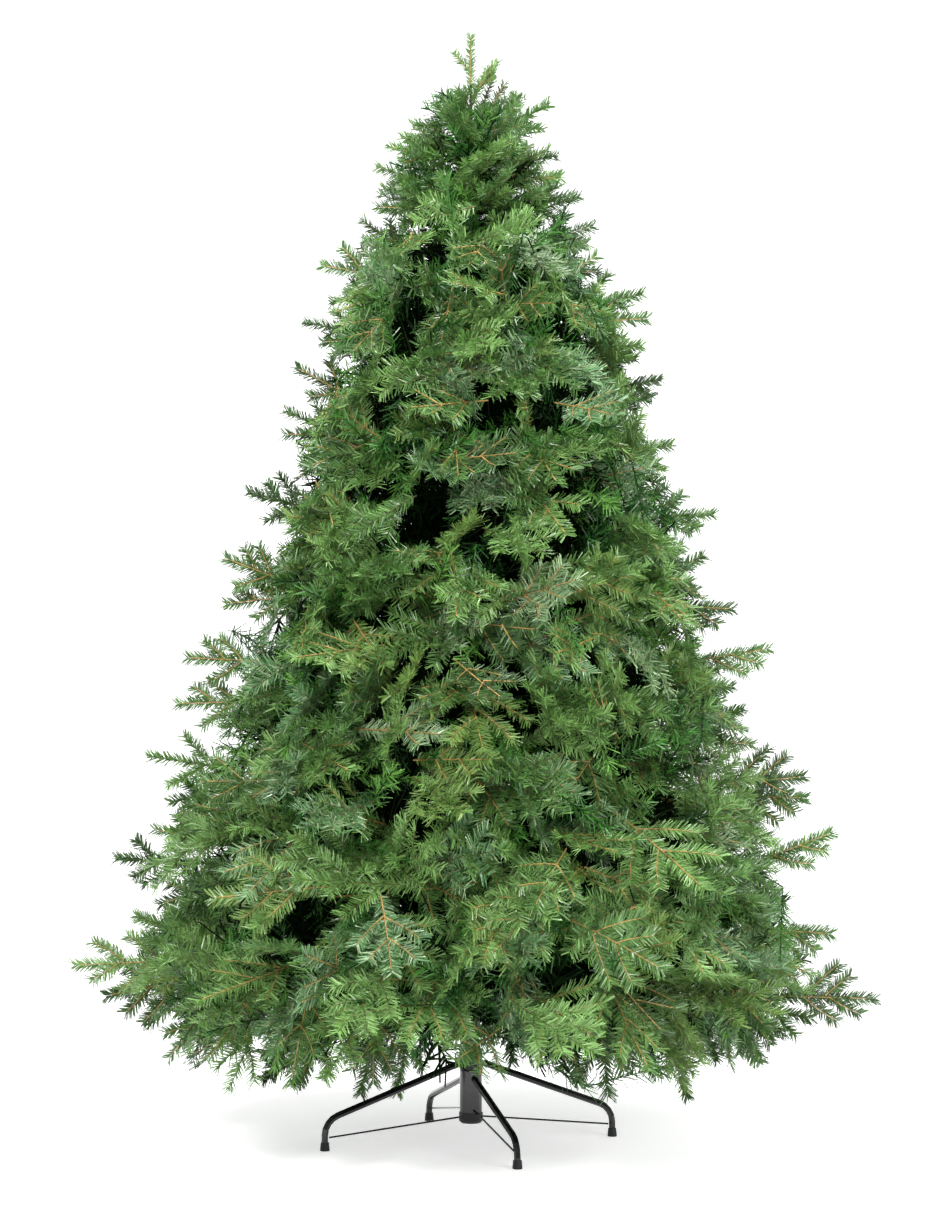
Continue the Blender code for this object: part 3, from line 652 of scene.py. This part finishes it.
LOOKS = (
    (NEEDLE_GREENS, dict(roughness=0.30, spread=0.26, scale=34, shine=0.55)),
    (FILM_GREENS, dict(roughness=0.28, spread=0.30, scale=40)),
    # The core film: matte near black, painted shade
    (CORE_SHADE_GREENS, dict(roughness=0.80, spread=0.30, scale=40, shine=0.05)),
    (STEM_COLOURS, dict(roughness=0.55, spread=0.24, scale=60, bump=0.3, bump_scale=900)),
    (
        {"wire": (0.008, 0.016, 0.005)},
        dict(roughness=0.85, spread=0.3, scale=70, bump=0.4, bump_scale=900, shine=0.05),
    ),
    (
        {"pole": (0.018, 0.022, 0.018)},
        dict(roughness=0.30, metallic=0.35, spread=0.25, scale=20, bump=0.10, bump_scale=700, coat=0.3),
    ),
    (
        {"steel": (0.006, 0.006, 0.007)},
        dict(roughness=0.20, spread=0.25, scale=26, bump=0.05, bump_scale=900, coat=0.3, shine=0.4),
    ),
    (
        {"plastic": (0.008, 0.008, 0.009)},
        dict(roughness=0.42, spread=0.18, scale=60, bump=0.12, bump_scale=1200, shine=0.35),
    ),
)
MATERIALS = {}
for colours, look in LOOKS:
    for name, colour in colours.items():
        MATERIALS[name] = surface(name, colour, **look)
MATERIALS["limb"] = MATERIALS["wire"]


# Meshes from arrays


def link(made):
    bpy.context.scene.collection.objects.link(made)


def mesh_object(name, points, faces, material, smooth=False):
    """A mesh whose faces all have the same number of corners."""
    corners = faces.shape[1]
    data = bpy.data.meshes.new(name)
    data.vertices.add(len(points))
    data.vertices.foreach_set("co", np.ascontiguousarray(points, np.float32).ravel())
    data.loops.add(faces.size)
    data.loops.foreach_set("vertex_index", np.ascontiguousarray(faces, np.int32).ravel())
    data.polygons.add(len(faces))
    data.polygons.foreach_set("loop_start", np.arange(0, faces.size, corners, dtype=np.int32))
    data.polygons.foreach_set("use_smooth", np.full(len(faces), smooth))
    data.update(calc_edges=True)
    data.materials.append(MATERIALS[material])
    made = bpy.data.objects.new(name, data)
    link(made)
    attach(made, "root")
    return made


def unit(ways):
    return ways / np.linalg.norm(ways, axis=1)[:, None]


def square_to(ways, helper):
    """Two unit directions square to each of the ways."""
    across = unit(np.cross(ways, helper))
    return across, np.cross(across, ways)


class Needles:
    """Needles gathered by colour, each a tapering, slightly twisted blade of two faces."""

    def __init__(self):
        self.kinds = {}

    def add(self, kind, base, way, flat, length, width):
        half_foot, twist, half_tip = BLADE
        foot = flat * (half_foot * width)[:, None]
        end = (flat + twist * np.cross(way, flat)) * (half_tip * width)[:, None]
        tip = base + way * length[:, None]
        corners = [base - foot, base + foot, tip + end, tip - end]
        self.kinds.setdefault(kind, []).append(np.stack(corners, axis=1))

    def build(self):
        made = []
        for kind in sorted(self.kinds):
            blades = np.concatenate(self.kinds[kind])
            parts = math.ceil(len(blades) / PIECE_NEEDLES)
            for part, some in enumerate(np.array_split(blades, parts)):
                first = 4 * np.arange(len(some))[:, None]
                faces = np.concatenate([first + [0, 1, 2], first + [0, 2, 3]])
                made.append(mesh_object(f"{kind}_{part + 1}", some.reshape(-1, 3), faces, kind))
        return made


class Rods:
    """Thin tapering rods gathered by finish."""

    def __init__(self):
        self.kinds = {}

    def add(self, kind, points, radii, sides):
        """points is (n, 3), and radii is (n,) or, for a rod that isn't round, (n, sides)."""
        ways = unit(np.gradient(points, axis=0))
        helper = np.array([0.0, 0.0, 1.0]) if abs(ways[0][2]) < 0.9 else np.array([1.0, 0.0, 0.0])
        across, up = square_to(ways, helper)
        angle = np.arange(sides) * 2 * math.pi / sides
        ring = across[:, None] * np.cos(angle)[None, :, None] + up[:, None] * np.sin(angle)[None, :, None]
        if radii.ndim == 1:
            radii = radii[:, None]
        rings = points[:, None] + ring * radii[..., None]
        self.kinds.setdefault(kind, []).append((rings.reshape(-1, 3), ring_faces(len(points), sides)))

    def build(self):
        made = []
        for kind in sorted(self.kinds):
            points, faces, start = [], [], 0
            for some, quads in self.kinds[kind]:
                points.append(some)
                faces.append(quads + start)
                start += len(some)
            points, faces = np.concatenate(points), np.concatenate(faces)
            made.append(mesh_object(f"{kind}_rods", points, faces, kind, True))
        return made


def ring_faces(rings, sides):
    """The four-cornered faces between rings of points that follow one another."""
    step = np.arange(sides)
    after = (step + 1) % sides
    faces = []
    for row in range(rings - 1):
        low, high = row * sides, (row + 1) * sides
        faces.append(np.stack([low + step, low + after, high + after, high + step], axis=1))
    return np.concatenate(faces)


def bezier(a, middle, b, share):
    """Points and unit tangents of a bent line at the shares of its length."""
    t = share[:, None]
    points = (1 - t) ** 2 * a + 2 * (1 - t) * t * middle + t * t * b
    return points, unit(2 * (1 - t) * (middle - a) + 2 * t * (b - middle))


def pick(dice, shares):
    """One of the names, as often as its share says."""
    odds = np.array(list(shares.values())) / sum(shares.values())
    return list(shares)[dice.choice(len(shares), p=odds)]


# Fingers, hands and film twigs


def varied(dice, count, least, more):
    return least + more * dice.random(count)


def leaned(dice, share, lean, ways, radial):
    """The needles' directions: off the stem by so many degrees, less towards its tip."""
    most, less, power, wander = lean
    angle = np.radians(most - less * share**power + dice.normal(0, wander, len(share)))
    return ways * np.cos(angle)[:, None] + radial * np.sin(angle)[:, None]


def rolled(dice, flat, way, most):
    """The needles' flat sides, each rolled about its own needle."""
    roll = dice.normal(0, most, len(flat))
    other = np.cross(flat, way)
    return flat * np.cos(roll)[:, None] + other * np.sin(roll)[:, None]


def finger(dice, kind, line, face, first, thick, bare, needle):
    """One needled finger: a stem with needles to both sides and over the face that shows.

    The stem's line is its start, bend and end, and first is where along it the needles start.
    """
    length = float(np.linalg.norm(line[2] - line[0]))
    spacing = NEEDLE_PITCH * (1.0 if needle == NEEDLE else RIM_SPACING)
    count = max(FEWEST_NEEDLES, int(length * (1 - first) / spacing))
    share = np.sort(first + (1 - first) * (np.arange(count) + dice.random(count)) / count)
    points, ways = bezier(*line, share)
    up = unit(face - ways * (ways @ face)[:, None])
    across = np.cross(up, ways)
    sign = np.where(np.arange(count) % 2, 1.0, -1.0)
    over = dice.random(count) < (BARE_OVER_SHARE if bare else OVER_SHARE)
    turn = np.where(over, dice.normal(*OVER_TURN, count), dice.normal(*SIDE_TURN, count))
    radial = across * (sign * np.cos(turn))[:, None] + up * np.sin(turn)[:, None]
    way = leaned(dice, share, NEEDLE_LEAN, ways, radial)
    to_tip = (1 - share) * length
    size = needle * varied(dice, count, *NEEDLE_SIZES)
    size *= np.clip(TIP_NEEDLES[0] + to_tip / TIP_NEEDLES[1], 0, 1)
    size *= np.clip(ROOT_NEEDLES[0] + (share - first) * length / ROOT_NEEDLES[1], 0, 1)
    flat = np.cross(way, up)
    flat /= np.linalg.norm(flat, axis=1)[:, None] + 1e-9
    flat = rolled(dice, flat, way, NEEDLE_ROLL)
    width = NEEDLE_WIDTH * min(1.0, WIDTH_GROWTH * needle / NEEDLE) * varied(dice, count, *NEEDLE_WIDTHS)
    feet = points + radial * thick * NEEDLE_SUNK
    mixed = dice.random(count) < MIXED_SHARE
    for some, name in ((~mixed, kind), (mixed, MIXED_WITH.get(kind, MIXED_ELSE))):
        needles.add(name, feet[some], way[some], flat[some], size[some], width[some])
    along = np.linspace(0, STEM_END, STEM_STEPS)
    stem = bezier(*line, along)[0] + (face * thick if bare else 0)
    radii = thick * (BARE_STEM if bare else 1.0) * (STEM_TAPER[0] - STEM_TAPER[1] * along)
    rods.add("stem_orange" if bare else "stem_brown", stem, radii, 3)


def hand(dice, root, direction, side, length, fingers=5, needle=NEEDLE, shares=NEEDLE_SHARES):
    """A spray as a real hand: one long finger and up to four side fingers off it.

    One that would hang in front of the stand is lifted.
    """
    turn = np.array(aim(Vector(direction), Vector(side)))
    root = np.array(root)
    tip = root + turn[:, 0] * length
    if abs(tip[0]) < STAND_HALF and tip[1] < 0 and root[2] < 2 * STAND_SHOWN:
        root[2] += max(0.0, STAND_SHOWN + SPRAY_DROOP * length - tip[2])
    off_axis = np.array([root[0], root[1], 0.0]) / (math.hypot(root[0], root[1]) + 1e-6)
    shown = off_axis + np.array([0, 0, FACE_UP])
    face = turn[:, 2] if turn[:, 2] @ shown > 0 else -turn[:, 2]
    kind = pick(dice, shares)
    bare = dice.random() < BARE_HANDS

    def place(along, across, up):
        droop = np.array([0, 0, SPRAY_DROOP * along * along * length])
        return root + turn @ np.array([along, across, up]) * length - droop

    bow = dice.uniform(-MIDDLE_BOW, MIDDLE_BOW)
    line = (place(0.0, 0, 0), place(0.5, bow, MIDDLE_RISE), place(STEM_END, 0, 0))
    finger(dice, kind, line, face, FINGER_STARTS[0], FINGER_RADII[0], bare, needle)
    for row, (start, end, out) in enumerate(SIDE_FINGERS):
        for sign in (1, -1):
            if 2 * row + (sign < 0) + 1 >= fingers or dice.random() < SIDE_MISSING:
                continue
            shift = dice.uniform(-SIDE_SHIFT, SIDE_SHIFT)
            grow = dice.uniform(*SIDE_SIZES)
            lift = dice.uniform(*SIDE_LIFTS)
            along, across, up = SIDE_BEND
            line = (
                place(start + shift, sign * SIDE_ROOT, 0.0),
                place(start + shift + (end - start) * along, sign * out * across, lift * up),
                place(start + shift + (end - start) * grow, sign * out * grow, lift),
            )
            finger(dice, kind, line, face, FINGER_STARTS[1], FINGER_RADII[1], bare, needle)


def film_twig(dice, kind, a, b, sag, size=1.0, pitch=FILM_PITCH):
    """A brush of long flat needles cut from film, twisted into a wire."""
    length = float(np.linalg.norm(b - a))
    count = max(FEWEST_NEEDLES, int(length / pitch))
    share = (np.arange(count) + dice.random(count)) / count
    line = (a, (a + b) / 2 + np.array([0, 0, sag]), b)
    points, ways = bezier(*line, share)
    across, up = square_to(ways, FILM_HELPER)
    turn = dice.random(count) * 2 * math.pi
    radial = across * np.cos(turn)[:, None] + up * np.sin(turn)[:, None]
    way = leaned(dice, share, FILM_LEAN, ways, radial)
    long = FILM_NEEDLE * size * varied(dice, count, *FILM_SIZES)
    long *= np.clip(FILM_TIP[0] + (1 - share) * FILM_TIP[1], 0, 1)
    flat = unit(rolled(dice, np.cross(radial, ways), way, FILM_ROLL))
    needles.add(kind, points, way, flat, long, np.full(count, FILM_WIDTH * size))
    stem, _ = bezier(*line, np.linspace(0, 1, 3))
    rods.add("wire", stem, np.full(3, FILM_WIRE), 3)


def wrapped_limb(start, end, radius, tip_radius):
    """A wire limb wound with film: a ridge runs round it like a rope's lay."""
    length = (end - start).length
    share = np.linspace(0, 1, max(4, int(length / LIMB_STEP)))
    line = np.array(start)[None] * (1 - share)[:, None] + np.array(end)[None] * share[:, None]
    angle = np.arange(LIMB_SIDES) * 2 * math.pi / LIMB_SIDES
    lay = 1 + LAY_RISE * np.sin(2 * angle[None, :] + share[:, None] * length / LAY_PITCH * 2 * math.pi)
    radii = (radius + (tip_radius - radius) * share)[:, None] * lay * LAY_SIZE
    rods.add("limb", line, radii, LIMB_SIDES)


def to_array(point):
    return np.array(point, dtype=float)


def straight_rod(a, b, radii, sides):
    share = np.linspace(0, 1, len(radii))[:, None]
    rods.add("wire", to_array(a) * (1 - share) + to_array(b) * share, np.array(radii), sides)


def branch_to(limbs, root):
    """A fine wire from the nearest of the limbs to root."""
    best = None
    for start, end in limbs:
        way = end - start
        share = max(BRANCH_FROM, min(1.0, (root - start).dot(way) / way.length_squared))
        place = start + way * share
        if best is None or (root - place).length < (root - best).length:
            best = place
    if (best - root).length > BRANCH_LEAST:
        straight_rod(best, root, BRANCH_RADII, 3)


def in_crown(point, share=1.0):
    """True if the point keeps to that share of the crown's outline."""
    reach = crown_reach(point.z) * share + OUTER_SLACK
    return CROWN_LOWEST < point.z < TREE_HEIGHT and POLE_CLEAR < point.xy.length < reach


def kept(point):
    """The share of the reach that twigs keep to: less to either side, where the outline has notches."""
    if abs(point.x) < FACE_HALF * point.xy.length:
        return FACE_KEPT
    return LEFT_KEPT if point.x < 0 and LEFT_BAND[0] < point.z < LEFT_BAND[1] else SIDE_KEPT


def drawn_in(root, way, length):
    """The root moved back along way so that the hand's tip keeps to its share of the reach."""
    tip = root + way * length
    return root - way * max(0.0, tip.xy.length - crown_reach(tip.z) * (kept(tip) + HAND_OVER))


def place_in(dice, space, low, high, band=None):
    """A point between two shares of the crown's reach, at any depth of the space or in a band of it."""
    heading = space.azimuth + dice.uniform(-1, 1) * space.half_angle
    share = dice.uniform(0, 1) if band is None else band + dice.uniform(0, BAND_DEPTH)
    level = space.low + (space.high - space.low) * share
    radius = math.sqrt(dice.uniform(low * low, high * high)) * outline_radius(level)
    return on_layer(heading, level, radius)


def rolled_side(dice, way, face, most):
    """The side of a hand that runs along way and shows its flat to face, rolled a little."""
    return Matrix.Rotation(dice.uniform(-most, most), 3, way) @ way.cross(face).normalized()


def along_face(dice, root, turns, rises, roll):
    """A direction along the crown's outer face at root, and the side of a hand laid there."""
    around = math.atan2(root.y, root.x)
    heading = around + dice.choice((-1, 1)) * dice.uniform(*turns)
    way = raised(heading, math.radians(dice.uniform(*rises)))
    face = outward(around) + Vector((0, 0, SPRAY_TILT))
    return way, rolled_side(dice, way, face, roll)


def film_in(dice, space, limbs, length, core=0.0):
    """Tries for a film twig out of the nearest limb or, given its size, a near-black core twig in the
    depths, painted shade.
    """
    for _ in range(FILM_TRIES):
        root = place_in(dice, space, *(CORE_REACH if core else FILM_REACH))
        way = outward(math.atan2(root.y, root.x)) + Vector(dice.normal(0, FILM_WANDER, 3))
        end = root + way.normalized() * length * dice.uniform(*FILM_LENGTHS)
        floor = CROWN_LOWEST + (CORE_FLOOR if core else 0.0)
        most = CORE_KEPT if core else kept(end)
        if min(root.z, end.z) > floor and in_crown(root) and in_crown(end, most):
            if not core:
                branch_to(limbs, root)
            kind = pick(dice, CORE_SHADE_SHARES if core else FILM_SHARES)
            pitch = CORE_PITCH if core else FILM_PITCH
            film_twig(dice, kind, to_array(root), to_array(end), dice.uniform(*FILM_SAG), core or 1.0, pitch)
            return


def extra_hand(dice, space, limbs, length, rises):
    """Tries for one more hand out of the nearest limb, laid along the crown's outer face."""
    for _ in range(EXTRA_TRIES):
        root = place_in(dice, space, *EXTRA_REACH, dice.choice(EXTRA_BANDS, 1)[0])
        way, side = along_face(dice, root, EXTRA_TURNS, rises, EXTRA_ROLL)
        size = length * dice.uniform(*EXTRA_SIZES)
        outline, _ = spray_points(root, way, side, size)
        if all(in_crown(p, kept(p) + EXTRA_SLACK) for p in outline[2:8]):
            branch_to(limbs, root)
            hand(dice, root, way, side, size, int(dice.integers(*EXTRA_FINGERS)))
            return


def dress_mass(number, index):
    """Everything that shows of one mass, on its own stem."""
    space, stem, twigs, sprays = grow_mass(number, index)
    dice = np.random.default_rng(SEEDS["masses"] + TIER_STEP * number + index)
    tier = TIERS[number]
    limbs = [stem, *twigs]
    wrapped_limb(*stem, STEM_RADIUS, STEM_TIP)
    for start, end in twigs:
        straight_rod(start, end, TWIG_RADII, 5)
    for root, direction, side, length in sprays:
        length *= dice.uniform(*(SIDE_SHARE if abs(direction.x) > SIDEWAYS else HAND_SHARE))
        hand(dice, drawn_in(root, direction, length), direction, side, length)
    share = crown_reach(max(CROWN_WIDEST, tier["limb"])) * 2 * math.pi / tier["masses"] / MASS_ARC
    for _ in range(round(EXTRA_HANDS * EXTRA_BOOST[number] * share)):
        extra_hand(dice, space, limbs, tier["spray"] * EXTRA_SPRAY, EXTRA_RISES if number else LOWEST_RISES)
    for _ in range(round(FILM_TWIGS * FILM_BOOST[number] * share)):
        film_in(dice, space, limbs, tier["spray"] * FILM_SPRAY)
    # Near-black core twigs fill the depths as painted shade
    more = (CORE_SIZES[0] / CORE_SIZES[number]) ** 2 if number else LOWEST_MORE
    for _ in range(round(CORE_TWIGS * share * more)):
        film_in(dice, space, limbs, tier["spray"] * CORE_SPRAY, CORE_SIZES[number])
    return limbs


def off_leader(dice, stem, along, climb):
    """A root on the leader's stem and a direction away from it."""
    root = stem[0].lerp(stem[1], dice.uniform(*along))
    way = outward(dice.uniform(0, 2 * math.pi)) + Vector((0, 0, dice.uniform(*climb)))
    return root, way.normalized()


def dress_leader():
    """Everything that shows of the leader, on its own stem."""
    stem, sprays = grow_leader()
    dice = np.random.default_rng(SEEDS["leader"])
    wrapped_limb(*stem, STEM_RADIUS, STEM_TIP)
    for root, direction, side, length in sprays[:-1]:
        hand(dice, root, direction, side, length * dice.uniform(*HAND_SHARE), 5, RIM_NEEDLE)
    root, direction, side, length = sprays[-1]
    # The top sprig is dealt the outline's darker greens, painted shade
    hand(dice, root, direction, -side, length, 2, TOP_NEEDLE, RIM_SHADE_SHARES)
    count, along, climb, reach, most = LEADER_FILM
    for _ in range(count):
        root, way = off_leader(dice, stem, along, climb)
        end = root + way * min(most, crown_reach(root.z) * dice.uniform(*reach))
        film_twig(dice, pick(dice, FILM_SHARES), to_array(root), to_array(end), 0.0)
    # Near-black core twigs round the leader, painted shade
    count, along, climb, reach, size = LEADER_CORE
    for _ in range(count):
        root, way = off_leader(dice, stem, along, climb)
        end = root + way * crown_reach(root.z) * dice.uniform(*reach)
        film_twig(dice, "film_core", to_array(root), to_array(end), 0.0, size, CORE_PITCH)
    count, along, lifts, reach, most = LEADER_HANDS
    for _ in range(count):
        root = stem[0].lerp(stem[1], dice.uniform(*along))
        lift = math.radians(dice.uniform(*lifts))
        way = raised(dice.uniform(0, 2 * math.pi), lift)
        side = rolled_side(dice, way, Vector((0, 0, 1)), LEADER_HAND_ROLL)
        length = min(most, crown_reach(root.z + LEADER_HAND_UP) * dice.uniform(*reach))
        hand(dice, root, way, side, length, 5, RIM_NEEDLE)
    return [stem]


def dress_rim(limbs):
    """The hands that stand out furthest to either side, and those that hang lowest, dealt darker greens as
    painted shade.
    """
    dice = np.random.default_rng(SEEDS["rim"])
    for *sizes, lift, fingers in RIM_HANDS + LOW_HANDS:
        x, z, length = (size / 1000 for size in sizes)
        rise = math.radians(lift)
        wander = dice.uniform(-RIM_WANDER, RIM_WANDER)
        away = Vector((math.copysign(math.cos(rise), x), wander, math.sin(rise)))
        tip = Vector((x, dice.uniform(-RIM_DEPTH, RIM_DEPTH), z + SPRAY_DROOP * length))
        root = tip - away.normalized() * length
        face = Vector((0, -1, dice.uniform(*RIM_FACE_UP)))
        branch_to(limbs, root)
        needle = TOP_NEEDLE if fingers < 3 and z > RIM_TOP else RIM_NEEDLE
        hand(dice, root, away, away.cross(face).normalized(), length, fingers, needle, RIM_SHADE_SHARES)


def dress_seams(limbs):
    """Hands over the seams between the masses of each tier."""
    dice = np.random.default_rng(SEEDS["seams"])
    for number, index in MASSES:
        space = tier_space(TIERS[number], index)
        for share in SEAM_LEVELS:
            level = space.low + (space.high - space.low) * share
            root = on_layer(space.azimuth + space.half_angle, level, SEAM_ROOT * outline_radius(level))
            way, side = along_face(dice, root, *SEAM_WAY)
            length = TIERS[number]["spray"] * dice.uniform(*SEAM_SIZES)
            root = drawn_in(root, way, length)
            branch_to(limbs, root)
            hand(dice, root, way, side, length)


def dress_front(limbs):
    """Hands across the middle of the crown's face, where masses meet."""
    dice = np.random.default_rng(SEEDS["front"])
    for *place, heading, lift in FRONT_HANDS:
        x, z = (size / 1000 for size in place)
        reach = crown_reach(z) * FRONT_ROOT
        root = Vector((x, -math.sqrt(reach * reach - x * x), z))
        way = raised(math.radians(heading - 90), math.radians(lift))
        side = rolled_side(dice, way, FRONT_FACE, FRONT_ROLL)
        branch_to(limbs, root)
        hand(dice, root, way, side, FRONT_LENGTH[0] + FRONT_LENGTH[1] * reach, 5)


def dress_boughs():
    """The limbs from the pole's rings to the foot of each mass's stem."""
    root = POLE_RING_RADIUS + root_clear(BOUGH_ROOT_RADIUS)
    for number, index in MASSES:
        if number < TIERS_WITH_BOUGHS:
            space = tier_space(TIERS[number], index)
            inner = BOUGH_SHARE * outline_radius(space.limb) - JOINT_GAP
            wrapped_limb(space.limb_point(root), space.limb_point(inner), BOUGH_ROOT_RADIUS, BOUGH_TIP)


# Pole: a hub ring's bevel, half its groove's mouth, and the groove's depth, which is half its
# floor. A joint's bead is offsets down from the joint and out from the pole

POLE_STEPS = 28
POLE_EDGE_ANGLE = math.radians(40)
RING_EDGE = 0.0006
RING_LIP = 0.003
RING_GROOVE = 0.0022
BEAD_ROWS = ((0.012, 0), (0.009, 0.0008), (0.006, 0))


def lathe(name, profile, steps, material):
    """A profile of (radius, height) turned about Z."""
    profile = np.array(profile, float)
    angle = np.arange(steps) * 2 * math.pi / steps
    x = np.outer(profile[:, 0], np.cos(angle))
    y = np.outer(profile[:, 0], np.sin(angle))
    z = np.repeat(profile[:, 1:], steps, axis=1)
    points = np.stack([x, y, z], axis=-1).reshape(-1, 3)
    made = mesh_object(name, points, ring_faces(len(profile), steps), material, True)
    edges = made.modifiers.new("edges", "EDGE_SPLIT")
    edges.split_angle = POLE_EDGE_ANGLE
    return made


def ring_profile(radius, middle):
    """A hub ring round a pole of that radius, with a groove that its boughs hook into."""
    rim, groove = POLE_RING_RADIUS, POLE_RING_RADIUS - RING_GROOVE
    low, high = middle - POLE_RING_HEIGHT / 2, middle + POLE_RING_HEIGHT / 2
    lower = [(radius, low), (rim - RING_EDGE, low), (rim, low + RING_EDGE), (rim, middle - RING_LIP)]
    upper = [(rim, middle + RING_LIP), (rim, high - RING_EDGE), (rim - RING_EDGE, high), (radius, high)]
    return [*lower, (groove, middle - RING_GROOVE), (groove, middle + RING_GROOVE), *upper]


def add_pole():
    """The pole with its hub rings and a rolled bead at each plug joint."""
    foot = CAP_FLOOR + JOINT_GAP
    profile = [(0.0, foot)]
    rings = [tier["limb"] for tier in TIERS[:TIERS_WITH_BOUGHS]]
    for top, radius in POLE_SECTIONS:
        profile.append((radius, foot))
        for middle in rings:
            if foot < middle < top:
                profile += ring_profile(radius, middle)
        profile += [(radius + out, top - down) for down, out in BEAD_ROWS]
        profile.append((radius, top))
        foot = top
    profile.append((0.0, foot))
    pole = lathe("pole_surface", profile, POLE_STEPS, "pole")
    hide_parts("pole")


STAND_FINISHES = {"black_steel": "steel", "black_plastic": "plastic"}


def finish_stand():
    """The stand's own nodes in their finishes."""
    slots = {part["node"]: part["material_slot"] for part in frame["record"]["subparts"]}
    for name, node in frame["nodes"].items():
        if name.startswith("stand"):
            node.data.materials.clear()
            node.data.materials.append(MATERIALS[STAND_FINISHES[slots[name]]])


def build_crown():
    """All that shows of the masses and boughs, in place of their solids."""
    limbs = []
    for number, index in MASSES:
        limbs += dress_mass(number, index)
    limbs += dress_leader()
    dress_rim(limbs)
    dress_seams(limbs)
    dress_front(limbs)
    dress_boughs()
    foliage = sorted(name for name in frame["nodes"] if name.startswith("foliage"))
    boughs = sorted(name for name in frame["nodes"] if name.startswith("bough"))
    for piece in needles.build() + rods.build():
        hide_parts(*(boughs if piece.name.startswith("limb") else foliage))


MASSES = [(number, index) for number, tier in enumerate(TIERS) for index in range(tier["masses"])]
needles = Needles()
rods = Rods()
build_crown()
add_pole()
finish_stand()


# Floor, light and camera

FLOOR_REACH = 14.0
WALL_START = 10.5
WALL_CURVE = 2.0
WALL_STEPS = 12
WALL_TOP = 14.0
PAPER_COLOUR = (0.90, 0.90, 0.90)
PAPER = dict(roughness=0.9, spread=0.01, scale=2, shine=0.0)
GLOW = {"From Min": 2.5, "From Max": 8.0, "To Min": 0.60, "To Max": 0.85}
LIGHTS = (
    ("key", (-1.9, -4.7, 3.7), (0, 0, 1.25), 1.3, 256),
    ("fill", (3.2, -4.0, 2.4), (0, 0, 1.15), 2.2, 160),
    ("top", (0.2, -0.6, 4.6), (0, 0, 1.0), 2.0, 170),
)
PHOTO_HEIGHT = 1215
PHOTO_FOCAL = 2622.39
SENSOR_HEIGHT = 36.0
CAMERA_PLACE = (-0.0017, -4.95, 0.8251)
CAMERA_TILT = 0.0364


def add_backdrop():
    """A pale floor that curves up into a wall, brighter away from the lamps."""
    run = [(-FLOOR_REACH, 0.0), (WALL_START, 0.0)]
    for step in range(1, WALL_STEPS + 1):
        angle = step / WALL_STEPS * math.pi / 2
        run.append((WALL_START + WALL_CURVE * math.sin(angle), WALL_CURVE * (1 - math.cos(angle))))
    run.append((WALL_START + WALL_CURVE, WALL_TOP))
    points = [(x, y, z) for y, z in run for x in (-FLOOR_REACH, FLOOR_REACH)]
    faces = [(2 * i, 2 * i + 1, 2 * i + 3, 2 * i + 2) for i in range(len(run) - 1)]
    data = bpy.data.meshes.new("backdrop")
    data.from_pydata(points, [], faces)
    for face in data.polygons:
        face.use_smooth = True
    made = bpy.data.objects.new("backdrop", data)
    link(made)
    paper = surface("paper", PAPER_COLOUR, **PAPER)
    nodes, links = paper.node_tree.nodes, paper.node_tree.links
    away = nodes.new("ShaderNodeVectorMath")
    away.operation = "LENGTH"
    glow = nodes.new("ShaderNodeMapRange")
    fill(glow, GLOW)
    links.new(nodes.new("ShaderNodeTexCoord").outputs["Object"], away.inputs[0])
    links.new(away.outputs["Value"], glow.inputs["Value"])
    shader = nodes["Principled BSDF"]
    fill(shader, {"Emission Color": (1, 1, 1, 1)})
    links.new(glow.outputs["Result"], shader.inputs["Emission Strength"])
    data.materials.append(paper)


def add_light(name, place, target, size, power):
    """A round soft lamp that faces its target."""
    lamp = bpy.data.lights.new(name, "AREA")
    lamp.shape = "DISK"
    lamp.size = size
    lamp.energy = power
    made = bpy.data.objects.new(name, lamp)
    made.location = place
    made.rotation_euler = (Vector(target) - Vector(place)).to_track_quat("-Z", "Y").to_euler()
    link(made)


def add_world():
    """Even light from all round."""
    world = bpy.data.worlds.new("world")
    bpy.context.scene.world = world
    world.use_nodes = True
    fill(world.node_tree.nodes["Background"], {"Color": (1, 1, 1, 1), "Strength": 0.35})
    bpy.context.scene.view_settings.view_transform = "Standard"


def add_camera():
    """The photo's camera, with its focal length in the photo's pixels."""
    lens = bpy.data.cameras.new("camera")
    lens.sensor_fit = "VERTICAL"
    lens.sensor_height = SENSOR_HEIGHT
    lens.lens = PHOTO_FOCAL * SENSOR_HEIGHT / PHOTO_HEIGHT
    made = bpy.data.objects.new("camera", lens)
    made.location = CAMERA_PLACE
    made.rotation_euler = (math.pi / 2 + CAMERA_TILT, 0, 0)
    link(made)
    bpy.context.scene.camera = made


add_backdrop()
for light in LIGHTS:
    add_light(*light)
add_world()
add_camera()
